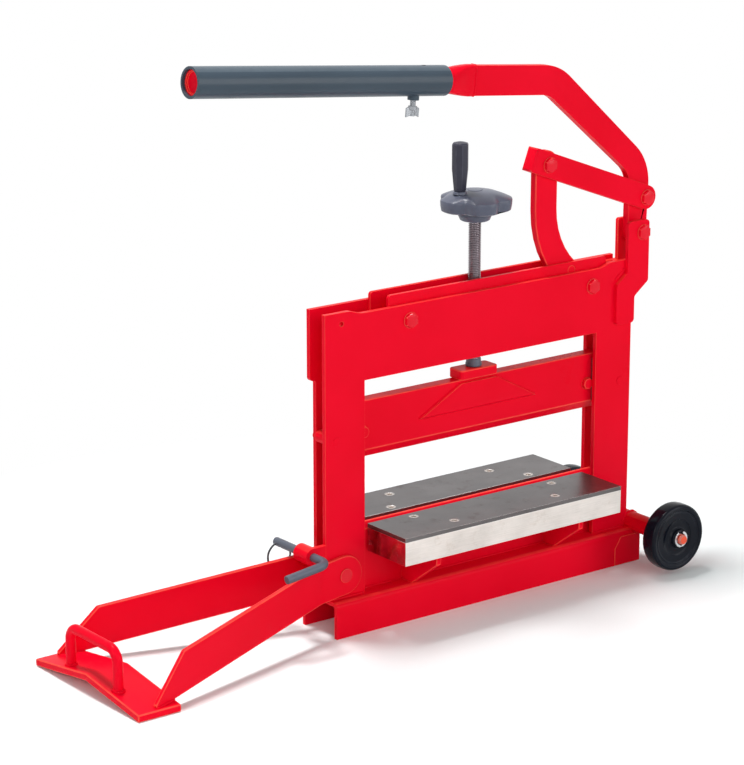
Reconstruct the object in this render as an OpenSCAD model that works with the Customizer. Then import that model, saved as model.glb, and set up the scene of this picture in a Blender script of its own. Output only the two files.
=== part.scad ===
// Hand-operated masonry block splitter on a wheeled base, in millimetres.
// X runs along the blade, Y to the rear, Z up; the origin is the middle of the footprint on the floor.

/* [Portal frame] */
// Clear width of the splitting window
window_w = 418; // [400:1:436]
// Width of each post of the front portal plate
post_w = 67; // [62:1:72]
// Height of the window's upper edge above the floor
window_top = 357; // [350:1:360]
// Height of the head beam's upper edge above the floor
beam_top = 452; // [448:1:456]
// Rise of the beam's corners over the posts
shoulder_rise = 6; // [4:1:8]
// Thickness of each portal plate
plate_t = 7; // [6:0.5:9]
// Clear gap between the front and the rear portal plate
head_gap = 32; // [31:0.5:34]
// Width of the rear plate's slimmer posts
rear_post_w = 38; // [32:1:44]
// Step between the end of the rear beam and the rear post
rear_post_inset = 10; // [6:1:14]

/* [Base and wheels] */
// Width of the base channel over its flanges
base_w = 80; // [76:1:88]
// Height of the base channel
base_h = 52; // [48:1:54]
// Wall of the base channel
base_t = 6; // [4:0.5:8]
// Diameter of each wheel
wheel_d = 100; // [96:1:106]
// Height of the wheels over the floor while the base stands on it
wheel_lift = 8; // [5:1:10]
// Width of each wheel's tyre
wheel_w = 26; // [24:1:30]
// Distance between the middle planes of the wheels
wheel_track = 231; // [226:1:240]
// Diameter of the axle
axle_d = 15; // [12:0.5:16]
// Outside diameter of the axle tube
axle_tube_d = 28; // [25:0.5:32]

/* [Foot rest] */
// Distance of the foot plate's outer edge from the spindle axis
foot_reach = 650; // [630:1:670]
// Length of the foot plate across the machine
foot_len = 254; // [240:1:266]
// Width of the foot plate
foot_w = 66; // [60:1:72]
// Thickness of the foot plate
foot_t = 10; // [8:0.5:12]
// Height of the foot plate's raised fold
foot_fold = 18; // [12:1:22]
// Height of each foot-rest arm
arm_bar_h = 56; // [52:1:58]
// Thickness of each foot-rest arm
arm_bar_t = 7; // [6:0.5:8]
// Diameter of the grab handle's rod
grab_d = 14; // [12:0.5:16]
// Diameter of the lock pin
lock_pin_d = 12; // [10:0.5:14]

/* [Tables and lower knife] */
// Height of the tables' upper face above the floor
table_top = 147; // [140:1:155]
// Gap between each end of the tables and the portal posts
table_side = 13; // [10:1:20]
// Depth of each table
table_d = 86; // [80:1:92]
// Height of each table's steel block
table_block_h = 34; // [28:1:36]
// Thickness of each table's wear plate
table_plate_t = 6; // [4:0.5:8]
// Thickness of the lower knife bar
knife_t = 16; // [12:1:20]
// Gap between the knife bar and each table
table_gap = 4; // [3:0.5:6]

/* [Upper blade and spindle] */
// Height of the blade bar's lower edge above the floor
blade_z = 241; // [236:1:246]
// Height of the blade bar
blade_h = 83; // [78:1:88]
// Thickness of the blade bar
blade_t = 20; // [16:1:24]
// Diameter of the threaded spindle
spindle_d = 18; // [16:0.5:18.5]
// Diameter of the handwheel over its lobes
handwheel_d = 104; // [98:1:108]
// Height of the handwheel
handwheel_h = 28; // [26:1:32]
// Length of the crank grip
grip_len = 72; // [64:1:76]
// Largest diameter of the crank grip
grip_d = 24; // [20:1:26]

/* [Lever and linkage] */
// Thickness of the lever bar and of the drive arm
lever_t = 12; // [10:0.5:12]
// Width of the lever bar
lever_w = 42; // [38:1:46]
// Width of the drive arm
drive_w = 40; // [38:1:42]
// Thickness of each side of the link strap
link_t = 5; // [4:0.5:5]
// Height of the link strap
link_h = 35; // [33:1:38]
// Thickness of the two rocker plates
rocker_t = 5; // [4.5:0.5:5]
// Thickness of the two ears that carry the lever
ear_t = 6; // [5:0.5:8]
// Diameter of the lever's round tube
tube_d = 35; // [32:0.5:36]
// Outside diameter of the sliding handle sleeve
sleeve_d = 42; // [41:0.5:46]
// Length of the sliding handle sleeve
sleeve_len = 415; // [400:1:430]
// Diameter of the linkage bolts
bolt_d = 14; // [12:0.5:16]

/* [Hidden] */
$fn = 48;

// Finishes
red = "#d8102c";
steel = "#b4b8bc";
dark_steel = "#5c6066";
grey = "#8a9098";
graphite = "#3c4148";
black = "#1e2022";

// Overrun of every cut past the face that it leaves
overrun = 2;
// Radial running clearance of a shaft in its hole
run_gap = 0.05;
// Gap between flat faces that slide past each other
side_gap = 0.4;
// Radial gap at the pivot where the closed linkage is left open
open_gap = 2.8;

// Portal frame
window_half = window_w / 2;
portal_half = window_half + post_w;
head_in = head_gap / 2;
head_out = head_in + plate_t;
shoulder_r = 14;
shoulder_lean = 2;
rear_end_inset = 3;
rear_half = portal_half - rear_end_inset;
rear_fillet_r = 3;
rear_corner_r = 6;
sight_hole_d = 7;
sight_hole_inset = 28;
sight_hole_drop = 10;
spacer_d = 18;
spacer_z = 278;
portal_bolt_d = 10;
portal_bolt_head_d = 13;
portal_bolt_head_h = 0.8;
rear_post_out = rear_half - rear_post_inset;
spacer_x = rear_post_out - spacer_d / 3;
head_block_w = 22;
head_block_z = 372;
head_block_x = portal_half - head_block_w;

// Linkage points, as [x from the spindle axis, height above the floor]
lever_offset = [14, 44];
link_offset = [17.3, 46.7];
strap_offset = [-185.8, 70.3];
arm_offset = [-76, -24.3];
rocker_offset = [145, -22.5];
drive_offset = [-34, 27.3];
nut_drop = 15;
lever_pivot = [portal_half, beam_top] + lever_offset;
link_pin = lever_pivot + link_offset;
arm_pin = link_pin + strap_offset;
arm_pivot = [portal_half, beam_top] + arm_offset;
rocker_pivot = [-portal_half, beam_top] + rocker_offset;
drive_point = arm_pivot + drive_offset;
nut_z = beam_top - nut_drop;
// Play of the drive pin along its slot while the lever swings
slot_run = [-11.2, 1.5];
slot_gap = 1;

// Depth places of the linkage, all behind the rocker's front plate
rocker_out = head_in - side_gap;
rocker_in = rocker_out - rocker_t;
lever_front = -rocker_in + side_gap;
lever_back = lever_front + lever_t;
strap_front = lever_front - side_gap - link_t;
strap_back = lever_back + side_gap + link_t;
front_ear_y = -head_out - ear_t;
rear_ear_y = lever_back + side_gap;

// Heads of the linkage bolts
bolt_head_d = 22;
bolt_head_h = 6;
nut_h = 9;

// Ears
ear_w = 34;
ear_foot = 364;
ear_r = 6;
ear_top_rise = 18;
ear_top_out = 12;
ear_top_w = 40;
ear_left_drops = [13, 29];
ear_right_drops = [29, 49];
rear_ear_left = 21;
rear_ear_right = 14;
rear_ear_left_r = 4;
rear_ear_right_r = 12;
ear_neck = 6;

// Rocker
rocker_front_tail = 32;
rocker_rear_tail = 43.5;
rocker_rise = 17;
rocker_depth = 65;
rocker_r = 5;
rocker_front_drop = 2;
rocker_front_nose = 31;
rocker_rear_nose = 18;
rocker_top = beam_top + rocker_rise;
rocker_bottom = rocker_top - rocker_depth;
rocker_front_right = arm_pivot.x + rocker_front_nose;
rocker_rear_right = drive_point.x + rocker_rear_nose;
rocker_sleeve_d = 24;
nut_d = 34;
relief_gap = 3;

// Drive arm
knee_offset = [-79, 37.3];
drive_knee = arm_pivot + knee_offset;
drive_bend_r = 130;

// Lever
lever_end_offset = [5, -2];
elbow_offset = [7.5, 91.9];
shoulder_offset = [-157.5, 235.55];
lever_end = lever_pivot + lever_end_offset;
lever_end_w = 35;
lever_elbow_w = 37;
lever_elbow = lever_pivot + elbow_offset;
lever_shoulder = lever_pivot + shoulder_offset;
handle_tilt = 5.62;
handle_dir = [-cos(handle_tilt), sin(handle_tilt)];
lever_flat = 158;
lever_bend_r = 58;
tube_start = lever_shoulder + lever_flat * handle_dir;
flare_len = 36;
tube_recess = 12;
tube_len = flare_len + sleeve_len - tube_recess;
tube_wall = 3;
sleeve_start = tube_start + flare_len * handle_dir;
flare_share = 0.1;
flare_rim = 2;
screw_place = 50;
screw_d = 8;
screw_len = 30;
screw_boss_d = 16;
screw_boss_h = 5;
wing_w = 22;
wing_h = 13;
wing_t = 4;
peep_d = 8;
peep_place = 38;
bush_d = 26;

// Link strap
link_dir = (link_pin - arm_pin) / norm(link_pin - arm_pin);
link_len = norm(link_pin - arm_pin);
link_web_gap = 4;
link_tail = drive_w / 2 + link_web_gap + link_t;

// Blade, saddle and spindle
blade_inset = 34;
blade_half = portal_half - blade_inset;
edge_h = 12;
edge_w = 4;
blade_top = blade_z + blade_h;
gusset_top_w = 62;
gusset_foot_w = 212;
gusset_t = 4;
gusset_drop = 44;
gusset_inset = 4;
saddle_w = 66;
saddle_d = 30;
saddle_h = 14;
saddle_r = 5;
foot_h = 12;
foot_top_d = 23;
foot_tip_d = 19;
foot_rim = 2;
spindle_foot_z = blade_top + saddle_h + side_gap;
collar_rise = 96;
collar_z = beam_top + collar_rise;
collar_h = 15;
collar_d = 48;
wheel_z = collar_z + collar_h;
cap_h = 6;
spindle_top = wheel_z + handwheel_h - cap_h;
lobes = 5;
lobe_steps = 24;
lobe_turn = 32;
lobe_dip = 9;
skirt_h = 17;
dome_d = 86;
dome_top_d = 52;
grip_place = [-25.5, 2];
grip_stud_d = 8;
grip_seat = 14;
grip_gap = 1;
grip_bore_h = 46;
grip_foot_share = 0.75;
grip_waist_share = 0.47;
grip_r = 5;
shoe_inset = 3;
shoe_in = window_half + shoe_inset;
shoe_w = 34;
shoe_h = 64;
shoe_rise = 12;
shoe_z = blade_z + shoe_rise;
stud_d = 16;
stud_inset = 5.5;
stud_rise = 39;
stud_x = window_half - stud_inset;
stud_z = blade_z + stud_rise;

// Tables and lower knife
knife_inset = 54;
knife_half = portal_half - knife_inset;
knife_bevel = 9;
knife_land = 3;
table_in = knife_t / 2 + table_gap;
table_out = table_in + table_d;
table_half = window_half - table_side;
table_len = 2 * table_half;
table_z = table_top - table_plate_t - table_block_h;
bracket_t = 8;
bracket_x = 130;
bracket_setback = 10;
bracket_reach = table_out - bracket_setback;
bracket_lip = 14;
table_screw_d = 7;
table_screw_head_d = 14;
table_screw_inner = 14;
table_screw_outer = 24;
table_screw_x = 126;
table_screw_step = 34;
screw_sink = 3.5;
screw_reach = 26;

// Foot rest and lock pin
base_step = 6;
base_left = portal_half - base_step;
base_r = 8;
foot_half = foot_len / 2;
foot_pivot_inset = 22.5;
foot_pivot_z = 86.5;
foot_pivot = [foot_pivot_inset - base_left, foot_pivot_z];
foot_pivot_d = 12;
foot_head_d = 20;
foot_head_h = 1.5;
foot_arm_in = head_out + side_gap;
foot_arm_straight = 41.5;
foot_arm_lap = 36;
foot_arm_inset = 4;
foot_arm_bend = foot_arm_straight - foot_pivot.x;
foot_arm_heel = foot_reach - foot_w;
foot_arm_end = foot_arm_heel + foot_arm_lap;
foot_arm_out = foot_half - foot_arm_inset;
foot_arm_bend_r = 40;
// Slope of the arms away from the blade's plane
foot_arm_splay = (foot_arm_out - arm_bar_t - foot_arm_in) / (foot_arm_end - foot_arm_bend);
// Height of the folded plate's upper face at a distance from its ridge
function foot_top(y) = foot_t + foot_fold * (1 - y / foot_half);
// Side profile of the foot arms
arm_lean = 7.6;
arm_rim = arm_bar_h / 2 * [sin(arm_lean), -cos(arm_lean)];
arm_toe = 55;
arm_toe_top = 73;
arm_toe_h = 3;
arm_toe_r = 6;
arm_seat_gap = 0.1;
arm_toe_seat = foot_top(foot_arm_out - arm_bar_t) + arm_seat_gap;
arm_heel_seat = foot_top(foot_arm_out - arm_bar_t - foot_arm_lap * foot_arm_splay) + arm_seat_gap;
grab_half = 58;
grab_top = 74;
grab_r = 18;
grab_inset = 14;
grab_x = foot_reach - grab_inset;
grab_seat = foot_top(grab_half - grab_d / 2);
lock_pin_reach = 27;
lock_pin_x = base_left + lock_pin_reach;
lock_pin_z = 121;
lock_rear = 65;
lock_front = 57;
lock_leg = 70;
lock_bend_r = 14;
lock_droop = 7;
lug_d = 25;
lug_back = 7;
ring_wire = 2.8;
ring_r = 19;
ring_hole_d = 6.8;
ring_y = 58;

// Axle and wheels
base_over = 12;
base_right = portal_half + base_over;
axle_setback = 4;
axle_x = base_right - axle_setback;
axle_z = wheel_d / 2 + wheel_lift;
hub_proud = 3;
axle_end = 11;
axle_tube_half = wheel_track / 2 - wheel_w / 2 - hub_proud - side_gap;
axle_half = wheel_track / 2 + wheel_w / 2 + axle_end;
hub_d = 54;
hub_dish = 4;
tread_dish = 2;
tread_dish_r = 41;
hub_bore = axle_d + 2 * run_gap;
hub_face_d = 40;
hub_nose_d = 30;
tyre_r = 5;
ring_t = 2.5;
ring_groove = 1.5;
ring_collar = 9;
ring_d = axle_d + ring_collar;
seat_gap = 0.1;
axle_ring_y = wheel_track / 2 + wheel_w / 2 + hub_proud + side_gap;

// The spindle axis stands this far right of the middle of the footprint
head_x = (foot_reach - axle_x - wheel_d / 2) / 2;
// Segments of each rounded corner or bend
bend_steps = 8;
// Half a turn, in degrees.
half_turn = 180;

// Signed angle from direction a to direction b
function turn(a, b) = atan2(a.x * b.y - a.y * b.x, a * b);
function unit(p, q) = (q - p) / norm(q - p);
function side(p, q) = [-unit(p, q).y, unit(p, q).x];
function turned(v, a) = [v.x * cos(a) - v.y * sin(a), v.x * sin(a) + v.y * cos(a)];
// Points along one edge of a bend at q, shifted sideways by off from the middle line of radius r
function bend(p, q, s, r, off) =
    let (t = turn(unit(p, q), unit(q, s)), g = sign(t), n = side(p, q))
    let (m = q - r * tan(abs(t) / 2) * unit(p, q) + g * r * n)
    [for (i = [0:bend_steps]) m - (g * r - off) * turned(n, t * i / bend_steps)];
// Outline of a closed polygon with one corner radius for each point
function rounded(p, r) = let (n = len(p))
    [for (i = [0:n - 1])
        each (r[i] == 0 ? [p[i]] : bend(p[(i + n - 1) % n], p[i], p[(i + 1) % n], r[i], 0))];
// One edge of a bent strip
function strip_edge(p, off, r) = let (n = len(p) - 1)
    concat([p[0] + off * side(p[0], p[1])],
        n < 2 ? [] : [for (i = [1:n - 1]) each bend(p[i - 1], p[i], p[i + 1], r, off)],
        [p[n] + off * side(p[n - 1], p[n])]);
function backwards(p) = [for (i = [len(p) - 1:-1:0]) p[i]];
function strip(p, w, r) = concat(strip_edge(p, w / 2, r), backwards(strip_edge(p, -w / 2, r)));
// Half round end at q of a strip that comes from p
function cap(p, q, w) =
    [for (i = [1:2 * bend_steps - 1]) q + w / 2 * turned(side(p, q), -half_turn * i / (2 * bend_steps))];
// Bent strip with its first end, its last end or both rounded
function capped(p, w, r, first, last) = let (n = len(p) - 1)
    concat(strip_edge(p, w / 2, r), last ? cap(p[n - 1], p[n], w) : [],
        backwards(strip_edge(p, -w / 2, r)), first ? cap(p[1], p[0], w) : []);
// One edge of a bent strip whose width changes from point to point
function taper_edge(p, w, r, g) = let (n = len(p) - 1)
    concat([p[0] + g * w[0] / 2 * side(p[0], p[1])],
        [for (i = [1:n - 1]) each bend(p[i - 1], p[i], p[i + 1], r, g * w[i] / 2)],
        [p[n] + g * w[n] / 2 * side(p[n - 1], p[n])]);
// S-shaped rise from point p to point q
function rise(p, q) = [for (i = [0:bend_steps]) let (u = i / bend_steps)
    [p.x + (q.x - p.x) * u, p.y + (q.y - p.y) * (1 - cos(u * half_turn)) / 2]];
function mirrored(p) = [for (v = backwards(p)) [-v.x, v.y]];

// Everything is drawn from the spindle axis and then placed in the shared frame
module placed() {
    translate([head_x, 0, 0]) children();
}

// Upright plate between two depths, its outline given in X and Z
module plate(y0, y1) {
    translate([0, y1, 0]) rotate([90, 0, 0]) linear_extrude(y1 - y0) children();
}

// Bar along X, its section given in Y and Z
module bar(x0, x1) {
    translate([x0, 0, 0]) rotate([90, 0, 90]) linear_extrude(x1 - x0) children();
}

// Round bar along Y through the point p
module rod(p, y0, y1, d) {
    translate([p.x, y1, p.y]) rotate([90, 0, 0]) cylinder(d = d, h = y1 - y0);
}

// Cut for a round bar that leaves both faces
module bore(p, y0, y1, d) {
    rod(p, y0 - overrun, y1 + overrun, d);
}

module tube(p, y0, y1, d, hole) {
    difference() {
        rod(p, y0, y1, d);
        bore(p, y0, y1, hole);
    }
}

// Six-sided head or nut
module hex(p, y0, y1, d) {
    translate([p.x, y1, p.y]) rotate([90, 0, 0]) cylinder(d = d, h = y1 - y0, $fn = 6);
}

// Bolt along Y, head in front, nut at the rear
module bolt(p, y0, y1, d) {
    rod(p, y0, y1, d);
    hex(p, y0 - bolt_head_h, y0, bolt_head_d);
    hex(p, y1, y1 + nut_h, bolt_head_d);
}

module both_ends() {
    children();
    mirror([1, 0, 0]) children();
}

module both_sides() {
    children();
    mirror([0, 1, 0]) children();
}

// Axis of the lever's handle, local Z along it and local X upwards
module along_handle(at) {
    translate([at.x, (lever_front + lever_back) / 2, at.y]) rotate([0, handle_tilt - 90, 0]) children();
}

// Front plate with its corners raised over the posts
module front_outline() {
    half = rise([window_half + shoulder_lean, beam_top],
        [window_half + shoulder_lean + 2 * shoulder_r, beam_top + shoulder_rise]);
    polygon(concat(
        [[-window_half, base_h], [-window_half, window_top], [window_half, window_top], [window_half, base_h]],
        [[portal_half, base_h], [portal_half, beam_top + shoulder_rise]],
        backwards(half), mirrored(backwards(half)),
        [[-portal_half, beam_top + shoulder_rise], [-portal_half, base_h]]));
}

// Rear plate with slimmer posts, stepped in from the ends of its straight beam
module rear_outline() {
    post_in = rear_post_out - rear_post_w;
    step = concat(
        bend([rear_post_out, base_h], [rear_post_out, window_top], [rear_half, window_top], rear_fillet_r, 0),
        bend([rear_post_out, window_top], [rear_half, window_top], [rear_half, beam_top], rear_corner_r, 0));
    polygon(concat(
        [[-post_in, base_h], [-post_in, window_top], [post_in, window_top], [post_in, base_h]],
        [[rear_post_out, base_h]], step, [[rear_half, beam_top + shoulder_rise]],
        [[-rear_half, beam_top + shoulder_rise]], mirrored(step), [[-rear_post_out, base_h]]));
}

module base_channel() placed() color(red) difference() {
    bar(-base_left, base_right) polygon(rounded([
        [-base_w / 2, 0], [-base_w / 2, base_h], [base_w / 2, base_h], [base_w / 2, 0],
        [base_w / 2 - base_t, 0], [base_w / 2 - base_t, base_h - base_t],
        [base_t - base_w / 2, base_h - base_t], [base_t - base_w / 2, 0]],
        [0, base_r, base_r, 0, 0, base_r - base_t, base_r - base_t, 0]));
    bore([axle_x, axle_z], -base_w / 2, base_w / 2, axle_tube_d + 2 * seat_gap);
}

module front_portal() placed() color(red) difference() {
    plate(-head_out, -head_in) front_outline();
    bore([sight_hole_inset - portal_half, beam_top - sight_hole_drop], -head_out, -head_in, sight_hole_d);
    bore(rocker_pivot, -head_out, -head_in, bolt_d + 2 * seat_gap);
    bore(arm_pivot, -head_out, -head_in, bolt_d + 2 * seat_gap);
    bore(foot_pivot, -head_out, -head_in, foot_pivot_d + 2 * seat_gap);
    both_ends() bore([spacer_x, spacer_z], -head_out, -head_in, portal_bolt_d + 2 * seat_gap);
    bore([axle_x, axle_z], -head_out, -head_in, axle_tube_d + 2 * seat_gap);
}

module rear_portal() placed() color(red) difference() {
    plate(head_in, head_out) rear_outline();
    bore(rocker_pivot, head_in, head_out, bolt_d + 2 * seat_gap);
    bore(arm_pivot, head_in, head_out, bolt_d + 2 * seat_gap);
    bore(foot_pivot, head_in, head_out, foot_pivot_d + 2 * seat_gap);
    both_ends() bore([spacer_x, spacer_z], head_in, head_out, portal_bolt_d + 2 * seat_gap);
}

module portal_spacers() placed() color(red) both_ends()
    tube([spacer_x, spacer_z], -head_in, head_in, spacer_d, portal_bolt_d + 2 * seat_gap);

module portal_bolts() placed() color(steel) both_ends() {
    rod([spacer_x, spacer_z], -head_out, head_out, portal_bolt_d);
    both_sides() rod([spacer_x, spacer_z], head_out, head_out + portal_bolt_head_h, portal_bolt_head_d);
}

module head_blocks() placed() color(red) {
    translate([head_block_x, -head_in, head_block_z])
        cube([head_block_w, rear_ear_y + head_in, beam_top - head_block_z]);
    translate([head_block_x, rear_ear_y + ear_t, head_block_z])
        cube([head_block_w, head_in - rear_ear_y - ear_t, beam_top - head_block_z]);
}

module front_ear() placed() color(red) difference() {
    right = lever_pivot.x + ear_top_out;
    left = right - ear_top_w;
    top = lever_pivot.y + ear_top_rise;
    plate(front_ear_y, -head_out) polygon(rounded([
        [portal_half - ear_w, ear_foot], [portal_half, ear_foot],
        [portal_half, beam_top - ear_right_drops.y], [right, beam_top - ear_right_drops.x],
        [right, top], [left, top],
        [left, beam_top - ear_left_drops.x], [portal_half - ear_w, beam_top - ear_left_drops.y]],
        [ear_r, ear_r, ear_r, ear_r, ear_r, ear_r, ear_r, ear_r]));
    bore(lever_pivot, front_ear_y, -head_out, bolt_d + 2 * seat_gap);
}

module rear_ear() placed() color(red) difference() {
    left = lever_pivot.x - rear_ear_left;
    right = lever_pivot.x + rear_ear_right;
    top = lever_pivot.y + ear_top_rise;
    plate(rear_ear_y, rear_ear_y + ear_t) polygon(rounded([
        [head_block_x, head_block_z], [portal_half, head_block_z], [portal_half, beam_top - ear_neck],
        [right, beam_top + ear_neck], [right, top], [left, top], [left, beam_top],
        [head_block_x, beam_top - ear_neck]],
        [0, 0, 0, 0, rear_ear_right_r, rear_ear_left_r, 0, 0]));
    bore(lever_pivot, rear_ear_y, rear_ear_y + ear_t, bolt_d + 2 * seat_gap);
}

module lever_pivot_bolt() placed() color(steel) bolt(lever_pivot, front_ear_y, rear_ear_y + ear_t, bolt_d);

module rocker_pivot_bolt() placed() color(steel) bolt(rocker_pivot, -head_out, head_out, bolt_d);

module arm_pivot_bolt() placed() color(steel) {
    bolt(arm_pivot, -head_out, head_out, bolt_d);
    rod(arm_pivot, lever_back + side_gap, head_in, rocker_sleeve_d);
}

module lower_knife() placed() color(red) bar(-knife_half, knife_half)
    polygon([[-knife_t / 2, base_h], [knife_t / 2, base_h], [knife_t / 2, table_top - knife_bevel],
        [knife_land / 2, table_top], [-knife_land / 2, table_top], [-knife_t / 2, table_top - knife_bevel]]);

module table_brackets() placed() color(red) both_ends() both_sides()
    bar(bracket_x - bracket_t / 2, bracket_x + bracket_t / 2)
        polygon([[knife_t / 2, base_h], [base_w / 2 - base_r, base_h], [bracket_reach, table_z - bracket_lip],
            [bracket_reach, table_z], [knife_t / 2, table_z]]);

// Places of one table's countersunk screws
module at_table_screws() {
    both_ends() {
        translate([table_screw_x, table_in + table_screw_inner, table_top]) children();
        translate([table_screw_x - table_screw_step, table_out - table_screw_outer, table_top]) children();
    }
}

module table_screw(gap) {
    translate([0, 0, -screw_sink])
        cylinder(d1 = table_screw_d + 2 * gap, d2 = table_screw_head_d + 2 * gap, h = screw_sink);
    translate([0, 0, -screw_reach])
        cylinder(d = table_screw_d + 2 * gap, h = screw_reach - screw_sink);
}

module table_block() difference() {
    translate([-table_half, table_in, table_z]) cube([table_len, table_d, table_block_h]);
    at_table_screws() table_screw(seat_gap);
}

module table_plate() difference() {
    translate([-table_half, table_in, table_z + table_block_h]) cube([table_len, table_d, table_plate_t]);
    at_table_screws() table_screw(seat_gap);
}

module front_table_block() placed() color(steel) mirror([0, 1, 0]) table_block();

module front_table_plate() placed() color(dark_steel) mirror([0, 1, 0]) table_plate();

module rear_table_block() placed() color(steel) table_block();

module rear_table_plate() placed() color(dark_steel) table_plate();

module table_screws() placed() color(steel) both_sides() at_table_screws() table_screw(0);

module lock_lug() placed() color(red) difference() {
    union() {
        rod([-lock_pin_x, lock_pin_z], -head_out, lug_back, lug_d);
        translate([-lock_pin_x, -head_out, lock_pin_z - lug_d / 2])
            cube([lock_pin_x - portal_half, plate_t, lug_d]);
    }
    bore([-lock_pin_x, lock_pin_z], -head_out, lug_back, lock_pin_d + 2 * run_gap);
}

// Headed pins with a nut inside each plate and a low head outside each arm
module foot_pivot_bolts() placed() color(steel) both_sides() {
    outer = foot_arm_in + arm_bar_t + side_gap;
    rod(foot_pivot, head_in, outer, foot_pivot_d);
    hex(foot_pivot, head_in - bolt_head_h, head_in, bolt_head_d);
    rod(foot_pivot, outer, outer + foot_head_h, foot_head_d);
}

module axle_tube() placed() color(red)
    tube([axle_x, axle_z], -axle_tube_half, axle_tube_half, axle_tube_d, axle_d + 2 * seat_gap);

module axle() placed() color(steel) difference() {
    rod([axle_x, axle_z], -axle_half, axle_half, axle_d);
    both_sides() tube([axle_x, axle_z], axle_ring_y - seat_gap, axle_ring_y + ring_t + seat_gap,
        axle_d + 2 * overrun, axle_d - 2 * ring_groove);
}

module axle_rings() placed() color(steel) both_sides()
    tube([axle_x, axle_z], axle_ring_y, axle_ring_y + ring_t, ring_d, axle_d - 2 * ring_groove + 2 * seat_gap);

// One wheel turned about its axle, local Z pointing outwards
module at_wheel() {
    translate([axle_x, wheel_track / 2, axle_z]) rotate([-90, 0, 0]) children();
}

module tyre() at_wheel() rotate_extrude() polygon(rounded([
    [hub_d / 2 + seat_gap, -wheel_w / 2 + tread_dish], [tread_dish_r, -wheel_w / 2 + tread_dish],
    [tread_dish_r, -wheel_w / 2], [wheel_d / 2, -wheel_w / 2], [wheel_d / 2, wheel_w / 2],
    [tread_dish_r, wheel_w / 2], [tread_dish_r, wheel_w / 2 - tread_dish],
    [hub_d / 2 + seat_gap, wheel_w / 2 - tread_dish]],
    [0, 0, 0, tyre_r, tyre_r, 0, 0, 0]));

module hub() at_wheel() rotate_extrude() polygon([
    [hub_bore / 2, -wheel_w / 2 - hub_proud], [hub_nose_d / 2, -wheel_w / 2 - hub_proud],
    [hub_nose_d / 2, hub_dish - wheel_w / 2], [hub_face_d / 2, hub_dish - wheel_w / 2],
    [hub_d / 2, tread_dish - wheel_w / 2], [hub_d / 2, wheel_w / 2 - tread_dish],
    [hub_face_d / 2, wheel_w / 2 - hub_dish], [hub_nose_d / 2, wheel_w / 2 - hub_dish],
    [hub_nose_d / 2, wheel_w / 2 + hub_proud], [hub_bore / 2, wheel_w / 2 + hub_proud]]);

module front_wheel() placed() color(black) mirror([0, 1, 0]) tyre();

module front_hub() placed() color(graphite) mirror([0, 1, 0]) hub();

module rear_wheel() placed() color(black) tyre();

module rear_hub() placed() color(graphite) hub();

// Plan of a foot arm meets its side profile
module foot_arm() difference() {
    intersection() {
        linear_extrude(foot_pivot.y + arm_bar_h) polygon(strip([
            [foot_pivot.x + arm_bar_h / 2, foot_arm_in + arm_bar_t / 2],
            [-foot_arm_bend, foot_arm_in + arm_bar_t / 2],
            [-foot_arm_end, foot_arm_out - arm_bar_t / 2]], arm_bar_t, foot_arm_bend_r));
        union() {
            plate(0, foot_half) polygon(rounded([
                foot_pivot - arm_rim, [-foot_arm_end + arm_toe, arm_toe_top],
                [-foot_arm_end, arm_toe_seat + arm_toe_h], [-foot_arm_end, arm_toe_seat],
                [-foot_arm_heel, arm_heel_seat], foot_pivot + arm_rim],
                [0, arm_toe_r, 0, 0, 0, 0]));
            rod(foot_pivot, 0, foot_half, arm_bar_h);
        }
    }
    bore(foot_pivot, foot_arm_in, foot_arm_in + arm_bar_t, foot_pivot_d + 2 * run_gap);
}

module front_foot_arm() placed() color(red) mirror([0, 1, 0]) foot_arm();

module rear_foot_arm() placed() color(red) foot_arm();

module foot_plate() placed() color(red) bar(-foot_reach, foot_w - foot_reach)
    polygon([[-foot_half, 0], [0, foot_fold], [foot_half, 0],
        [foot_half, foot_t], [0, foot_t + foot_fold], [-foot_half, foot_t]]);

module grab_handle() placed() color(red) translate([-grab_x, 0, 0]) {
    rod([0, grab_top], grab_r - grab_half, grab_half - grab_r, grab_d);
    both_sides() {
        translate([0, grab_half, grab_seat]) cylinder(d = grab_d, h = grab_top - grab_r - grab_seat);
        translate([0, grab_half - grab_r, grab_top - grab_r]) rotate([90, 0, 90])
            rotate_extrude(angle = 90) translate([grab_r, 0]) circle(d = grab_d);
    }
}

module lock_pin() placed() color(graphite) translate([-lock_pin_x, 0, lock_pin_z]) difference() {
    union() {
        rod([0, 0], lock_bend_r - lock_front, lock_rear, lock_pin_d);
        rotate([0, -lock_droop, 0]) {
            translate([-lock_bend_r, lock_bend_r - lock_front, 0]) rotate([0, 0, -90])
                rotate_extrude(angle = 90) translate([lock_bend_r, 0]) circle(d = lock_pin_d);
            translate([-lock_leg, -lock_front, 0]) rotate([0, 90, 0])
                cylinder(d = lock_pin_d, h = lock_leg - lock_bend_r);
        }
    }
    translate([-lock_pin_d, ring_y, 0]) rotate([0, 90, 0]) cylinder(d = ring_hole_d, h = 2 * lock_pin_d);
}

module keeper_ring() placed() color(graphite) translate([-lock_pin_x, ring_y, lock_pin_z - ring_r])
    rotate([90, 0, 0]) rotate_extrude() translate([ring_r, 0]) circle(d = ring_wire);

module lever_bar() placed() color(red) difference() {
    path = [lever_end, lever_elbow, lever_shoulder, tube_start];
    widths = [lever_end_w, lever_elbow_w, lever_w, lever_w];
    plate(lever_front, lever_back) polygon(concat(taper_edge(path, widths, lever_bend_r, 1),
        backwards(taper_edge(path, widths, lever_bend_r, -1)), cap(path[1], path[0], lever_end_w)));
    bore(lever_pivot, lever_front, lever_back, bolt_d + 2 * run_gap);
    bore(link_pin, lever_front, lever_back, bolt_d + 2 * run_gap);
}

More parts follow.
